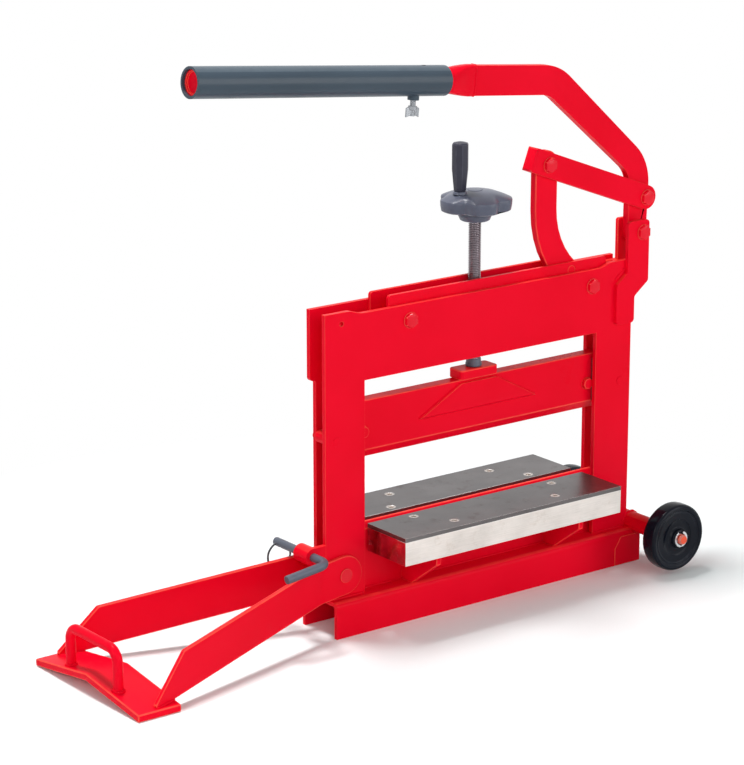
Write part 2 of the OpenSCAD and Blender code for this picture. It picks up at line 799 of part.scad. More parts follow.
// The tube's end is flattened where it meets the lever bar
module lever_tube() placed() color(red) along_handle(tube_start) difference() {
    union() {
        hull() {
            translate([-lever_w / 2, -lever_t / 2, 0]) cube([lever_w, lever_t, flare_len * flare_share]);
            translate([0, 0, flare_len - flare_rim]) cylinder(d = tube_d, h = flare_rim);
        }
        translate([0, 0, flare_len - flare_rim]) cylinder(d = tube_d, h = tube_len - flare_len + flare_rim);
    }
    translate([0, 0, flare_len]) cylinder(d = tube_d - 2 * tube_wall, h = tube_len - flare_len + overrun);
}

module lever_bushes() placed() color(steel)
    tube(lever_pivot, -head_out + side_gap, lever_front, bush_d, bolt_d + 2 * run_gap);

module handle_sleeve() placed() color(grey) along_handle(sleeve_start) difference() {
    union() {
        translate([0, 0, side_gap]) cylinder(d = sleeve_d, h = sleeve_len - side_gap);
        translate([-sleeve_d / 2 - screw_boss_h, 0, screw_place]) rotate([0, 90, 0])
            cylinder(d = screw_boss_d, h = screw_boss_h + sleeve_d / 4);
    }
    cylinder(d = tube_d + 2 * run_gap, h = sleeve_len + overrun);
    translate([-sleeve_d, 0, screw_place]) rotate([0, 90, 0])
        cylinder(d = screw_d + 2 * run_gap, h = sleeve_d);
    translate([0, 0, peep_place]) rotate([0, 90, 0]) cylinder(d = peep_d, h = sleeve_d);
}

module clamp_screw() placed() color(steel) along_handle(sleeve_start)
    translate([-tube_d / 2 - side_gap - screw_len, 0, screw_place]) {
        rotate([0, 90, 0]) cylinder(d = screw_d, h = screw_len);
        translate([0, -wing_t / 2, -wing_w / 2]) cube([wing_h, wing_t, wing_w]);
    }

module link_strap() placed() color(red) difference() {
    plate(strap_front, strap_back)
        polygon(capped([arm_pin - link_tail * link_dir, link_pin], link_h, 0, false, true));
    plate(strap_front + link_t, strap_back - link_t)
        polygon(strip([arm_pin + (link_t - link_tail) * link_dir, link_pin + link_h * link_dir],
            2 * link_h, 0));
    bore(link_pin, strap_front, strap_back, bolt_d + 2 * seat_gap);
    bore(arm_pin, strap_front, strap_back, bolt_d + 2 * seat_gap);
}

module link_lever_bolt() placed() color(steel) bolt(link_pin, strap_front, strap_back, bolt_d);

module link_arm_bolt() placed() color(steel) bolt(arm_pin, strap_front, strap_back, bolt_d);

module drive_arm() placed() color(red) difference() {
    plate(lever_front, lever_back)
        polygon(capped([arm_pin, drive_knee, arm_pivot], drive_w, drive_bend_r, true, true));
    bore(arm_pin, lever_front, lever_back, bolt_d + 2 * open_gap);
    bore(arm_pivot, lever_front, lever_back, bolt_d + 2 * run_gap);
    plate(lever_front - overrun, lever_back + overrun)
        polygon(capped([drive_point, drive_point + slot_run], bolt_d + 2 * slot_gap, 0, true, true));
}

// Upright plate of the rocker between two depths, with its three holes
module rocker_plate(left, right, top, y0, y1) difference() {
    plate(y0, y1) polygon(rounded([[left, rocker_bottom], [right, rocker_bottom], [right, top], [left, top]],
        [rocker_r, rocker_r, rocker_r, rocker_r]));
    bore(rocker_pivot, y0, y1, bolt_d + 2 * run_gap);
    bore([0, nut_z], y0, y1, nut_d + 2 * run_gap);
    bore(drive_point, y0, y1, bolt_d + 2 * seat_gap);
}

module rocker_front_plate() placed() color(red) difference() {
    rocker_plate(rocker_pivot.x - rocker_front_tail, rocker_front_right, rocker_top - rocker_front_drop,
        -rocker_out, -rocker_in);
    bore(arm_pivot, -rocker_out, -rocker_in, bolt_d + 2 * relief_gap);
    translate([arm_pivot.x - bolt_d / 2 - relief_gap, -rocker_out - overrun, rocker_bottom - overrun])
        cube([bolt_d + 2 * relief_gap, rocker_t + 2 * overrun, arm_pivot.y - rocker_bottom + overrun]);
}

module rocker_rear_plate() placed() color(red)
    rocker_plate(rocker_pivot.x - rocker_rear_tail, rocker_rear_right, rocker_top, rocker_in, rocker_out);

module rocker_spacers() placed() color(red) {
    tube(rocker_pivot, -rocker_in, rocker_in, rocker_sleeve_d, bolt_d + 2 * run_gap);
    tube(drive_point, lever_back + side_gap, rocker_in, rocker_sleeve_d, bolt_d + 2 * seat_gap);
}

module drive_pin() placed() color(steel) rod(drive_point, -rocker_out, rocker_out, bolt_d);

module trunnion_nut() placed() color(steel) difference() {
    rod([0, nut_z], side_gap - rocker_out, rocker_out - side_gap, nut_d);
    translate([0, 0, nut_z - nut_d]) cylinder(d = spindle_d + 2 * run_gap, h = 2 * nut_d);
}

module blade_bar() placed() color(red) difference() {
    bar(-blade_half, blade_half) polygon([
        [-blade_t / 2, blade_top], [-blade_t / 2, blade_z + edge_h], [-edge_w / 2, blade_z],
        [edge_w / 2, blade_z], [blade_t / 2, blade_z + edge_h], [blade_t / 2, blade_top]]);
    both_ends() bore([stud_x, stud_z], -blade_t / 2, blade_t / 2, stud_d + 2 * seat_gap);
}

module blade_gussets() placed() color(red) both_sides() plate(blade_t / 2, blade_t / 2 + gusset_t)
    polygon([[-gusset_foot_w / 2, blade_top - gusset_drop], [gusset_foot_w / 2, blade_top - gusset_drop],
        [gusset_top_w / 2, blade_top - gusset_inset], [-gusset_top_w / 2, blade_top - gusset_inset]]);

module blade_saddle() placed() color(red) translate([0, 0, blade_top]) linear_extrude(saddle_h)
    polygon(rounded([[-saddle_w / 2, -saddle_d / 2], [saddle_w / 2, -saddle_d / 2],
        [saddle_w / 2, saddle_d / 2], [-saddle_w / 2, saddle_d / 2]], [saddle_r, saddle_r, saddle_r, saddle_r]));

module guide_shoes() placed() color(steel) both_ends() both_sides()
    translate([shoe_in, blade_t / 2, shoe_z]) cube([shoe_w, rocker_out - blade_t / 2, shoe_h]);

module guide_studs() placed() color(steel) both_ends() rod([stud_x, stud_z], -rocker_out, rocker_out, stud_d);

module spindle() placed() color(steel) translate([0, 0, spindle_foot_z])
    cylinder(d = spindle_d, h = spindle_top - spindle_foot_z);

module spindle_foot() placed() color(dark_steel) translate([0, 0, spindle_foot_z]) difference() {
    cylinder(d1 = foot_top_d, d2 = foot_tip_d + foot_rim, h = foot_h);
    translate([0, 0, -overrun]) cylinder(d = spindle_d + 2 * seat_gap, h = foot_h + 2 * overrun);
}

// Star knob: lobes round a skirt under a low dome
module handwheel() placed() color(graphite) translate([0, 0, wheel_z]) difference() {
    full_turn = 2 * half_turn;
    count = lobes * lobe_steps;
    union() {
        linear_extrude(skirt_h) polygon([for (i = [0:count - 1]) let (a = i * full_turn / count)
            (handwheel_d / 2 - lobe_dip * (1 - cos((a - lobe_turn) * lobes)) / 2) * [cos(a), sin(a)]]);
        translate([0, 0, skirt_h]) cylinder(d1 = dome_d, d2 = dome_top_d, h = handwheel_h - skirt_h);
    }
    translate([0, 0, -overrun]) cylinder(d = spindle_d + 2 * seat_gap, h = handwheel_h + 2 * overrun);
    translate([grip_place.x, grip_place.y, handwheel_h - grip_seat])
        cylinder(d = grip_stud_d + 2 * seat_gap, h = grip_seat + overrun);
}

module handwheel_collar() placed() color(graphite) translate([0, 0, collar_z]) difference() {
    cylinder(d = collar_d, h = collar_h);
    translate([0, 0, -overrun]) cylinder(d = spindle_d + 2 * seat_gap, h = collar_h + 2 * overrun);
}

module grip_stud() placed() color(steel)
    translate([grip_place.x, grip_place.y, wheel_z + handwheel_h - grip_seat])
        cylinder(d = grip_stud_d, h = grip_seat + grip_bore_h);

module crank_grip() placed() color(graphite)
    translate([grip_place.x, grip_place.y, wheel_z + handwheel_h + grip_gap]) rotate_extrude()
        polygon(concat([[grip_stud_d / 2 + run_gap, 0]],
            rounded([[grip_d / 2 * grip_foot_share, 0], [grip_d / 2, grip_len * grip_waist_share],
                [grip_d / 2, grip_len], [0, grip_len]], [0, grip_r, grip_r, 0]),
            [[0, grip_bore_h + grip_gap], [grip_stud_d / 2 + run_gap, grip_bore_h + grip_gap]]));

base_channel();
front_portal();
rear_portal();
portal_spacers();
portal_bolts();
head_blocks();
front_ear();
rear_ear();
lever_pivot_bolt();
rocker_pivot_bolt();
arm_pivot_bolt();
lower_knife();
table_brackets();
front_table_block();
front_table_plate();
rear_table_block();
rear_table_plate();
table_screws();
lock_lug();
foot_pivot_bolts();
axle_tube();
axle();
axle_rings();
front_wheel();
front_hub();
rear_wheel();
rear_hub();
front_foot_arm();
rear_foot_arm();
foot_plate();
grab_handle();
lock_pin();
keeper_ring();
lever_bar();
lever_tube();
lever_bushes();
handle_sleeve();
clamp_screw();
link_strap();
link_lever_bolt();
link_arm_bolt();
drive_arm();
rocker_front_plate();
rocker_rear_plate();
rocker_spacers();
drive_pin();
trunnion_nut();
blade_bar();
blade_gussets();
blade_saddle();
guide_shoes();
guide_studs();
spindle();
spindle_foot();
handwheel();
handwheel_collar();
grip_stud();
crank_grip();
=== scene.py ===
import math

import bmesh
import bpy
from mathutils import Matrix, Vector


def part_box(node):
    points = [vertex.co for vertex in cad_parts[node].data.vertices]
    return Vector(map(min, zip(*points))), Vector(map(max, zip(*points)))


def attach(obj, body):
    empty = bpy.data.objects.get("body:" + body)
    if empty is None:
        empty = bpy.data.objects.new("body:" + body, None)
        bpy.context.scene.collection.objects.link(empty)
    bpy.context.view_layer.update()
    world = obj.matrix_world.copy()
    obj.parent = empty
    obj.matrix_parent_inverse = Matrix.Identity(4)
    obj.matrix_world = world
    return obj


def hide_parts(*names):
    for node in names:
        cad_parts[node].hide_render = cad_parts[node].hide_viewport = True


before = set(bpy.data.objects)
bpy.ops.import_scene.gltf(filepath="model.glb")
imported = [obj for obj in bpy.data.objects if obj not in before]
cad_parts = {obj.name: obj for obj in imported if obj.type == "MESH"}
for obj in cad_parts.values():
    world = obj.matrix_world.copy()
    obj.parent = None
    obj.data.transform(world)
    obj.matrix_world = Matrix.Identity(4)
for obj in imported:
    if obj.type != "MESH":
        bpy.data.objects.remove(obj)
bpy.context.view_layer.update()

# The studio: a white sweep under soft lamps, seen from the front left and a little above.
# The lamps give the paint its own colour; the floor and sky only look white to the eye and to metal.
scene = bpy.context.scene
scene.view_settings.view_transform = "Standard"

camera = bpy.data.objects.new("camera", bpy.data.cameras.new("camera"))
scene.collection.objects.link(camera)
scene.camera = camera
camera.data.sensor_fit = "HORIZONTAL"
camera.data.sensor_width = 36
camera.data.lens = 142.24
camera.location = (-2.36659, -3.09429, 1.43958)
camera.rotation_euler = (math.radians(74.24), 0, math.radians(-37.16))


class Tone:
    """A shader socket that sums can be written on."""

    def __init__(self, tree, socket=None):
        self.tree = tree
        self.socket = socket

    def feed(self, made, sockets):
        for key, value in sockets.items():
            if isinstance(value, Tone):
                self.tree.links.new(value.socket, made.inputs[key])
            else:
                made.inputs[key].default_value = value

    def node(self, kind, settings=None, sockets=None, out=0):
        made = self.tree.nodes.new("ShaderNode" + kind)
        for key, value in (settings or {}).items():
            if key == "stops":
                for stop, (spot, shade) in zip(made.color_ramp.elements, value):
                    stop.position = spot
                    stop.color = (shade, shade, shade, 1)
            else:
                setattr(made, key, value)
        self.feed(made, sockets or {})
        return Tone(self.tree, made.outputs[out])

    def sum(self, operation, a, b):
        return self.node("Math", {"operation": operation}, {0: a, 1: b})

    def mix(self, a, b):
        return self.node("Mix", {"data_type": "RGBA"}, {0: self, 6: a, 7: b}, 2)

    def ramp(self, low, high):
        return self.node("ValToRGB", {"stops": [(low, 0), (high, 1)]}, {0: self})

    def __add__(self, other):
        return self.sum("ADD", self, other)

    def __mul__(self, other):
        return self.sum("MULTIPLY", self, other)

    __radd__ = __add__
    __rmul__ = __mul__


def white_to_the_eye(tree):
    """1 for a ray from the camera, from gloss or through glass, and 0 for light on its way to a surface."""
    eye, gloss, glass = [Tone(tree).node("LightPath", out=ray)
                         for ray in ("Is Camera Ray", "Is Glossy Ray", "Is Transmission Ray")]
    return eye.sum("MAXIMUM", eye.sum("MAXIMUM", eye, gloss), glass)


sky_light = 0.27
scene.world = bpy.data.worlds.new("sky")
scene.world.use_nodes = True
sky = scene.world.node_tree
seen = white_to_the_eye(sky)
seen.feed(sky.nodes["Background"], {"Color": (1, 1, 1, 1), "Strength": seen * (1 - sky_light) + sky_light})

floor_half = 9
floor_mesh = bmesh.new()
bmesh.ops.create_grid(floor_mesh, x_segments=2, y_segments=2, size=floor_half)
floor_data = bpy.data.meshes.new("floor")
floor_mesh.to_mesh(floor_data)
floor_mesh.free()
floor = bpy.data.objects.new("floor", floor_data)
scene.collection.objects.link(floor)

floor_finish = bpy.data.materials.new("pale_floor")
floor_finish.use_nodes = True
tree = floor_finish.node_tree
seen = white_to_the_eye(tree)
tree.nodes.remove(tree.nodes["Principled BSDF"])
place = seen.node("TexCoord", out="Object")
away = seen.node("VectorMath", {"operation": "LENGTH"}, {0: place}, "Value")
shade = seen.mix((0.84, 0.86, 0.86, 1), (0.87, 0.92, 0.92, 1))
matt = seen.node("BsdfDiffuse", None, {"Color": shade})
glow = seen.node("Emission", None, {"Color": (1, 1, 1, 1), "Strength": 1.0})
shadow_from, shadow_to = 0.54, 0.90
blend = seen.node("MixShader", None, {0: seen * away.ramp(shadow_from, shadow_to), 1: matt, 2: glow})
tree.links.new(blend.socket, tree.nodes["Material Output"].inputs["Surface"])
floor_data.materials.append(floor_finish)

for name, place, aim, width, power in (
    ("high_softbox", (-0.3, 0.75, 3.7), (0, 0, 0.2), 0.8, 124),
    ("left_softbox", (-1.3, -3.4, 1.9), (0, 0, 0.35), 2.4, 38),
    ("right_softbox", (2.0, -3.2, 1.3), (0.2, 0, 0.25), 2.2, 44),
    ("side_softbox", (-3.4, -0.6, 1.8), (0, 0, 0.4), 1.6, 27),
):
    lamp = bpy.data.objects.new(name, bpy.data.lights.new(name, "AREA"))
    scene.collection.objects.link(lamp)
    lamp.data.size = width
    lamp.data.energy = power
    lamp.location = place
    lamp.rotation_euler = (Vector(aim) - Vector(place)).to_track_quat("-Z", "Y").to_euler()


# The base is a folded steel channel, open below, under the whole machine; a plate laps its right end.
# Its sprayed coat of red enamel is even and satin, with a painted orange highlight along every folded edge.
def start(name):
    """A new material, its shader and the coordinates that its patterns are laid on."""
    finish = bpy.data.materials.new(name)
    finish.use_nodes = True
    shader = finish.node_tree.nodes["Principled BSDF"]
    return finish, shader, Tone(finish.node_tree).node("TexCoord", out="Object")


def enamel(name, deep, fresh, edge, peel_size=420, dull=0.24, gloss=0.03, coat_weight=0.02):
    """Sprayed paint: a slow drift of tone, fine orange peel, faint grime and a painted highlight on its
    edges.
    """
    finish, shader, place = start(name)
    drift = place.node("TexNoise", None, {"Vector": place, "Scale": 5.0, "Detail": 3.0, "Roughness": 0.55})
    grime = place.node("TexNoise", None, {"Vector": place, "Scale": 38.0, "Detail": 6.0, "Roughness": 0.7})
    peel = place.node("TexNoise", None, {"Vector": place, "Scale": peel_size, "Detail": 2.0})
    # Painted highlight: faces marked edge are mixed towards the edge colour, in patches that follow the
    # grime.
    highlight_mask = place.node("Attribute", {"attribute_name": "edge"}, out="Fac")
    painted_highlight = highlight_mask * (grime.ramp(0.36, 0.62) * 0.45 + 0.55)
    coat = drift.ramp(0.3, 0.7).mix(deep, fresh)
    coat = (grime.ramp(0.66, 0.80) * 0.22).mix(coat, deep)
    coat = (painted_highlight * 0.75).mix(coat, edge)
    bump = peel.node("Bump", None, {"Height": peel + grime * 0.6, "Strength": 0.10, "Distance": 0.0004})
    place.feed(shader, {
        "Base Color": coat,
        "Roughness": dull + drift * 0.10 + grime.ramp(0.5, 0.8) * 0.14,
        "Normal": bump,
        "Coat Weight": coat_weight,
        "Coat Roughness": 0.08,
        "Specular IOR Level": gloss,
    })
    return finish


# Its last colour is a painted orange highlight for edges and narrow tops.
red_enamel = enamel("red_enamel", (0.76, 0.0012, 0.015, 1), (0.84, 0.0022, 0.021, 1), (0.95, 0.11, 0.07, 1))


def soften(shape, width, steps, sharp=32):
    """Rounds every sharp edge and notes the new faces as edge, for painted edge highlights on paint and metal
    and for scuffs on moulded parts.
    """
    edge = shape.faces.layers.float.new("edge")
    rim = [e for e in shape.edges if len(e.link_faces) == 2 and e.calc_face_angle() > math.radians(sharp)]
    made = bmesh.ops.bevel(shape, geom=rim, offset=width, offset_type="OFFSET", segments=steps, profile=0.5,
                           affect="EDGES", clamp_overlap=True, material=-1)
    rounds = set(made["faces"])
    for face in shape.faces:
        face.smooth = True
        face[edge] = 1.0 if face in rounds else 0.0
    for e in shape.edges:
        if len(e.link_faces) == 2:
            mixed = (e.link_faces[0] in rounds) != (e.link_faces[1] in rounds)
            e.smooth = not mixed and e.calc_face_angle(0) < math.radians(sharp)


def settle(shape, name, finish, body, stands_for=()):
    """Turns a finished shape into a piece that rides on a body."""
    mesh = bpy.data.meshes.new(name)
    shape.to_mesh(mesh)
    shape.free()
    mesh.materials.append(finish)
    piece = bpy.data.objects.new(name, mesh)
    scene.collection.objects.link(piece)
    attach(piece, body)
    if stands_for:
        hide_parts(*stands_for)
    return piece


def solid_of(node):
    """A joined copy of a CAD solid, its flat sides whole."""
    weld_dist, flat_angle = 0.00001, math.radians(0.6)
    shape = bmesh.new()
    shape.from_mesh(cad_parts[node].data)
    bmesh.ops.remove_doubles(shape, verts=shape.verts, dist=weld_dist)
    bmesh.ops.dissolve_limit(shape, angle_limit=flat_angle, verts=shape.verts, edges=shape.edges)
    return shape


def dressed(node, finish, body, width, steps=3, melted=None):
    """A CAD solid with its edges rounded; edges that melted picks run into a neighbour.

    Its narrow upper sides carry a weaker painted highlight, as its edges carry a full one.
    """
    melt_width, melt_angle = 0.0036, math.radians(32)
    narrow_area, upward_share, top_highlight = 0.0045, 0.7, 0.35
    shape = solid_of(node)
    if melted:
        rim = [e for e in shape.edges
               if e.calc_face_angle(0) > melt_angle and all(melted(v.co) for v in e.verts)]
        bmesh.ops.bevel(shape, geom=rim, offset=melt_width, segments=5, profile=0.5, affect="EDGES",
                        clamp_overlap=True, material=-1)
    soften(shape, width, steps)
    edge = shape.faces.layers.float["edge"]
    # Narrow upward faces get a weaker painted highlight.
    for face in shape.faces:
        if face.normal.z > upward_share and face[edge] == 0 and face.calc_area() < narrow_area:
            face[edge] = top_highlight
    return settle(shape, node + "_skin", finish, body, (node,))


def points_of(geom):
    """The vertices among what an operator made."""
    return [part for part in geom if isinstance(part, bmesh.types.BMVert)]


dressed("base_channel", red_enamel, "frame", 0.0022, 4)
base_low, base_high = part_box("base_channel")
lap_back, lap_front = base_low.y + 0.0002, base_low.y - 0.0016
lap_left, lap_right, lap_slope = base_high.x - 0.0495, base_high.x - 0.0005, base_high.x - 0.038
lap_foot, lap_corner, lap_top = 0.001, 0.0265, 0.044
shape = bmesh.new()
plate = shape.faces.new([shape.verts.new((x, lap_back, z)) for x, z in (
    (lap_left, lap_foot), (lap_right, lap_foot), (lap_right, lap_top), (lap_slope, lap_top),
    (lap_left, lap_corner))])
grown = bmesh.ops.extrude_face_region(shape, geom=[plate])["geom"]
bmesh.ops.translate(shape, verts=points_of(grown), vec=(0, lap_front - lap_back, 0))
bmesh.ops.recalc_face_normals(shape, faces=shape.faces)
soften(shape, 0.0008, 3)
settle(shape, "base_lap_plate", red_enamel, "frame")


# The two portal plates are flame-cut from flat steel and stand on the base with the head gap between them.
# Tube spacers keep them apart, and the plug welds of their ties are ground nearly flush.
dressed("front_portal", red_enamel, "frame", 0.0013)
dressed("rear_portal", red_enamel, "frame", 0.0013)
dressed("portal_spacers", red_enamel, "frame", 0.0010)
plugs = dressed("portal_bolts", red_enamel, "frame", 0.0006, 2)
for spot in plugs.data.attributes["edge"].data:
    spot.value = 0
dressed("head_blocks", red_enamel, "frame", 0.0012)


def rim_of(geom, points):
    """The edges among what an operator made that run only between these points."""
    return [part for part in geom
            if isinstance(part, bmesh.types.BMEdge) and all(v in points for v in part.verts)]


def smooth(shape, sharp=180):
    """Shades a shape round, except over edges that are sharper than an angle."""
    for face in shape.faces:
        face.smooth = True
    for e in shape.edges:
        if len(e.link_faces) == 2:
            e.smooth = e.calc_face_angle(0) < math.radians(sharp)


def bead(name, start_at, end_at, radius, body):
    """A straight run of weld, its ripples raised by the electrode's steps."""
    end_share, ripple = 0.55, (1.0, 0.86)
    start_at, end_at = Vector(start_at), Vector(end_at)
    line = end_at - start_at
    shape = bmesh.new()
    bmesh.ops.create_circle(shape, cap_ends=True, segments=10, radius=radius * end_share,
                            matrix=Matrix.Translation(start_at)
                            @ line.to_track_quat("Z", "Y").to_matrix().to_4x4())
    rim = shape.edges[:]
    here = start_at
    steps = max(2, int(line.length / (radius * end_share)))
    for i in range(1, steps + 1):
        there = start_at.lerp(end_at, i / steps)
        made = bmesh.ops.extrude_edge_only(shape, edges=rim)["geom"]
        fresh = points_of(made)
        rim = rim_of(made, fresh)
        bmesh.ops.translate(shape, verts=fresh, vec=there - here)
        swell = radius * (end_share if i == steps else ripple[(i - 1) % 2])
        middle = sum((v.co for v in fresh), Vector()) / len(fresh)
        for v in fresh:
            v.co = middle + (v.co - middle).normalized() * swell
        here = there
    bmesh.ops.contextual_create(shape, geom=rim)
    bmesh.ops.recalc_face_normals(shape, faces=shape.faces)
    smooth(shape)
    settle(shape, name, red_enamel, body)


front_low, front_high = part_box("front_portal")
rear_low, rear_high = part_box("rear_portal")
corner_clear, post_inside = 0.004, 0.064
rear_clear, rear_inside = 0.013, 0.045
for tag, x0, x1, y in (
    ("front_left", front_low.x + corner_clear, front_low.x + post_inside, front_low.y),
    ("front_right", front_high.x - post_inside, front_high.x - corner_clear, front_low.y),
    ("rear_left", rear_low.x + rear_clear, rear_low.x + rear_inside, rear_high.y),
    ("rear_right", rear_high.x - rear_inside, rear_high.x - rear_clear, rear_high.y),
):
    bead("post_weld_" + tag, (x0, y, base_high.z), (x1, y, base_high.z), 0.0026, "frame")


# The two ears carry the lever: a cranked one on the front plate and a straight one between the head blocks.
# Both are flat bars welded on; the front one's bead shows along its slanted shoulder.
ear_low, ear_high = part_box("front_ear")
on_face = 1e-5
ear_bend, ear_right = ear_low.z + 0.067, front_high.x - 0.002
dressed("front_ear", red_enamel, "frame", 0.0012,
        melted=lambda v: v.y < ear_low.y + on_face and v.z < ear_bend and v.x < ear_right)
dressed("rear_ear", red_enamel, "frame", 0.0012)
slant_left, slant_right = ear_low.x + 0.0005, ear_low.x + 0.019
slant_foot, slant_top = ear_low.z + 0.066, ear_low.z + 0.081
bead("ear_slant_weld", (slant_left, ear_high.y, slant_foot), (slant_right, ear_high.y, slant_top), 0.0020,
     "frame")


# Pivot bolts with six-sided heads, painted over with the machine after it was put together.
# Each head has a turned chamfer over its corners and sits on a pressed washer face.
def disc(shape, middle, y0, y1, width, sides=40):
    """A round slice from front to back; returns its points."""
    upright = Matrix.Rotation(math.radians(90), 4, "X")
    return bmesh.ops.create_cone(
        shape, cap_ends=True, segments=sides, radius1=width / 2, radius2=width / 2, depth=y1 - y0,
        matrix=Matrix.Translation((middle.x, (y0 + y1) / 2, middle.z)) @ upright)["verts"]


def hex_head(shape, middle, y0, y1, width, out):
    """A six-sided head or nut whose outer face, in front for -1 and behind for 1, is chamfered."""
    chamfer_share, on_face = 0.07, 1e-6
    face_y = y0 if out < 0 else y1
    crown = {e for v in disc(shape, middle, y0, y1, width, 6) for e in v.link_edges
             if all(abs(end.co.y - face_y) < on_face for end in e.verts)}
    bmesh.ops.bevel(shape, geom=list(crown), offset=width * chamfer_share, segments=3, profile=0.5,
                    affect="EDGES", material=-1)


# Its last colour is a painted highlight for the bolts' edges and chamfers.
bolt_enamel = enamel("bolt_enamel", (0.68, 0.0012, 0.014, 1), (0.80, 0.0022, 0.020, 1), (0.92, 0.14, 0.09, 1),
                     peel_size=600, dull=0.16, gloss=0.14, coat_weight=0.14)


def pivot_bolt(node, body, spacers=()):
    """A bolt with its head in front and a nut behind; each spacer on it is a (front, back, width)."""
    shank, head, tip_share, face_share, washer_share = 0.014, 0.022, 0.86, 1.04, 1.06
    low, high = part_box(node)
    middle = (low + high) / 2
    head_back, face_back = low.y + 0.0048, low.y + 0.006
    nut_front, nut_back = high.y - 0.0085, high.y - 0.0012
    shank_front, shank_back = head_back - 0.0003, nut_front + 0.0010
    washer_front, washer_back = nut_front - 0.0005, nut_front + 0.0003
    lap = 0.0002
    shape = bmesh.new()
    disc(shape, middle, shank_front, shank_back, shank)
    for front, back, width in spacers:
        disc(shape, middle, front, back, width)
    hex_head(shape, middle, low.y, head_back, head, -1)
    disc(shape, middle, head_back - lap, face_back, head * face_share)
    hex_head(shape, middle, nut_front, nut_back, head, 1)
    disc(shape, middle, washer_front, washer_back, head * washer_share)
    disc(shape, middle, nut_back - lap, high.y, shank * tip_share)
    soften(shape, 0.0005, 2, 40)
    settle(shape, node + "_turned", bolt_enamel, body, (node,))


pivot_bolt("lever_pivot_bolt", "frame")
pivot_bolt("rocker_pivot_bolt", "frame")
pivot_bolt("arm_pivot_bolt", "frame", [(0.0022, 0.016, 0.024)])


# The axle runs in a red tube welded across the base's right end, with a ring in a groove outside each wheel.
# Its ends are painted with the frame; each ring is a bare spring clip, open above, with two inner prongs.
def round_bar(shape, start_at, end_at, radius, sides=48):
    """A straight round bar from one point to another."""
    line = Vector(end_at) - Vector(start_at)
    turn = line.to_track_quat("Z", "Y").to_matrix().to_4x4()
    bmesh.ops.create_cone(shape, cap_ends=True, segments=sides, radius1=radius, radius2=radius,
                          depth=line.length,
                          matrix=Matrix.Translation((Vector(start_at) + Vector(end_at)) / 2) @ turn)


def metal(name, dark, light, dull, line_scale, line_depth, metallic=1.0, stained=None, bright=0.0):
    """Bare steel: drifting tone, drawn or turned lines, a few stained patches and, if bright, a painted
    highlight on its edges.
    """
    finish, shader, place = start(name)
    drawn = place.node("Mapping", None, {"Vector": place, "Scale": line_scale})
    lines = place.node("TexNoise", None, {"Vector": drawn, "Scale": 12.0, "Detail": 5.0, "Roughness": 0.65})
    drift = place.node("TexNoise", None, {"Vector": place, "Scale": 14.0, "Detail": 4.0, "Roughness": 0.6})
    patches = place.node("TexNoise", None, {"Vector": place, "Scale": 46.0, "Detail": 6.0, "Roughness": 0.72})
    stain = patches.ramp(0.56, 0.72)
    tone = (drift.ramp(0.3, 0.7) * 0.6 + lines.ramp(0.3, 0.7) * 0.4).mix(dark, light)
    tone = (stain * 0.35).mix(tone, stained or tuple(c * 0.55 for c in dark[:3]) + (1,))
    # Painted highlight: the edges are mixed towards near-white.
    if bright:
        rim = place.node("Attribute", {"attribute_name": "edge"}, out="Fac").ramp(0.5, 0.9)
        tone = (rim * bright).mix(tone, (0.92, 0.90, 0.88, 1))
    bump = lines.node("Bump", None, {"Height": lines, "Strength": line_depth, "Distance": 0.0004})
    place.feed(shader, {"Base Color": tone, "Roughness": dull + lines * 0.16 + stain * 0.12,
                        "Metallic": metallic, "Normal": bump})
    return finish


def spun(shape, geom, middle, axis, steps):
    """Turns an outline once round an axis and joins its ends."""
    seam = 0.000005
    bmesh.ops.spin(shape, geom=geom, cent=middle, axis=axis, angle=math.radians(360), steps=steps,
                   use_merge=True)
    bmesh.ops.remove_doubles(shape, verts=shape.verts, dist=seam)
    bmesh.ops.recalc_face_normals(shape, faces=shape.faces)


def ring_bead(name, middle, tilt, radius, thick, body):
    """A ring of weld round the foot of a bar."""
    ripple, ripples = 0.14, 11
    upright = Matrix.Rotation(math.radians(90), 4, "X")
    shape = bmesh.new()
    bmesh.ops.create_circle(shape, segments=8, radius=thick,
                            matrix=Matrix.Translation((radius, 0, 0)) @ upright)
    spun(shape, shape.edges[:] + shape.verts[:], (0, 0, 0), (0, 0, 1), 44)
    for v in shape.verts:
        angle = math.atan2(v.co.y, v.co.x)
        core = Vector((radius * math.cos(angle), radius * math.sin(angle), 0))
        v.co = core + (v.co - core) * (1 + ripple * math.sin(angle * ripples))
    bmesh.ops.transform(shape, matrix=Matrix.Translation(middle) @ Matrix.Rotation(tilt, 4, "X"),
                        verts=shape.verts)
    smooth(shape)
    settle(shape, name, red_enamel, body)


dressed("axle_tube", red_enamel, "frame", 0.0012)
axle_low, axle_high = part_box("axle")
axle_middle = (axle_low + axle_high) / 2
tube_low, tube_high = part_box("axle_tube")
weld_r = (tube_high.z - tube_low.z) / 2 + 0.0003
for tag, y in (("front", front_low.y), ("rear", rear_high.y)):
    ring_bead("axle_weld_" + tag, (axle_middle.x, y, axle_middle.z), math.radians(90), weld_r, 0.0019,
              "frame")

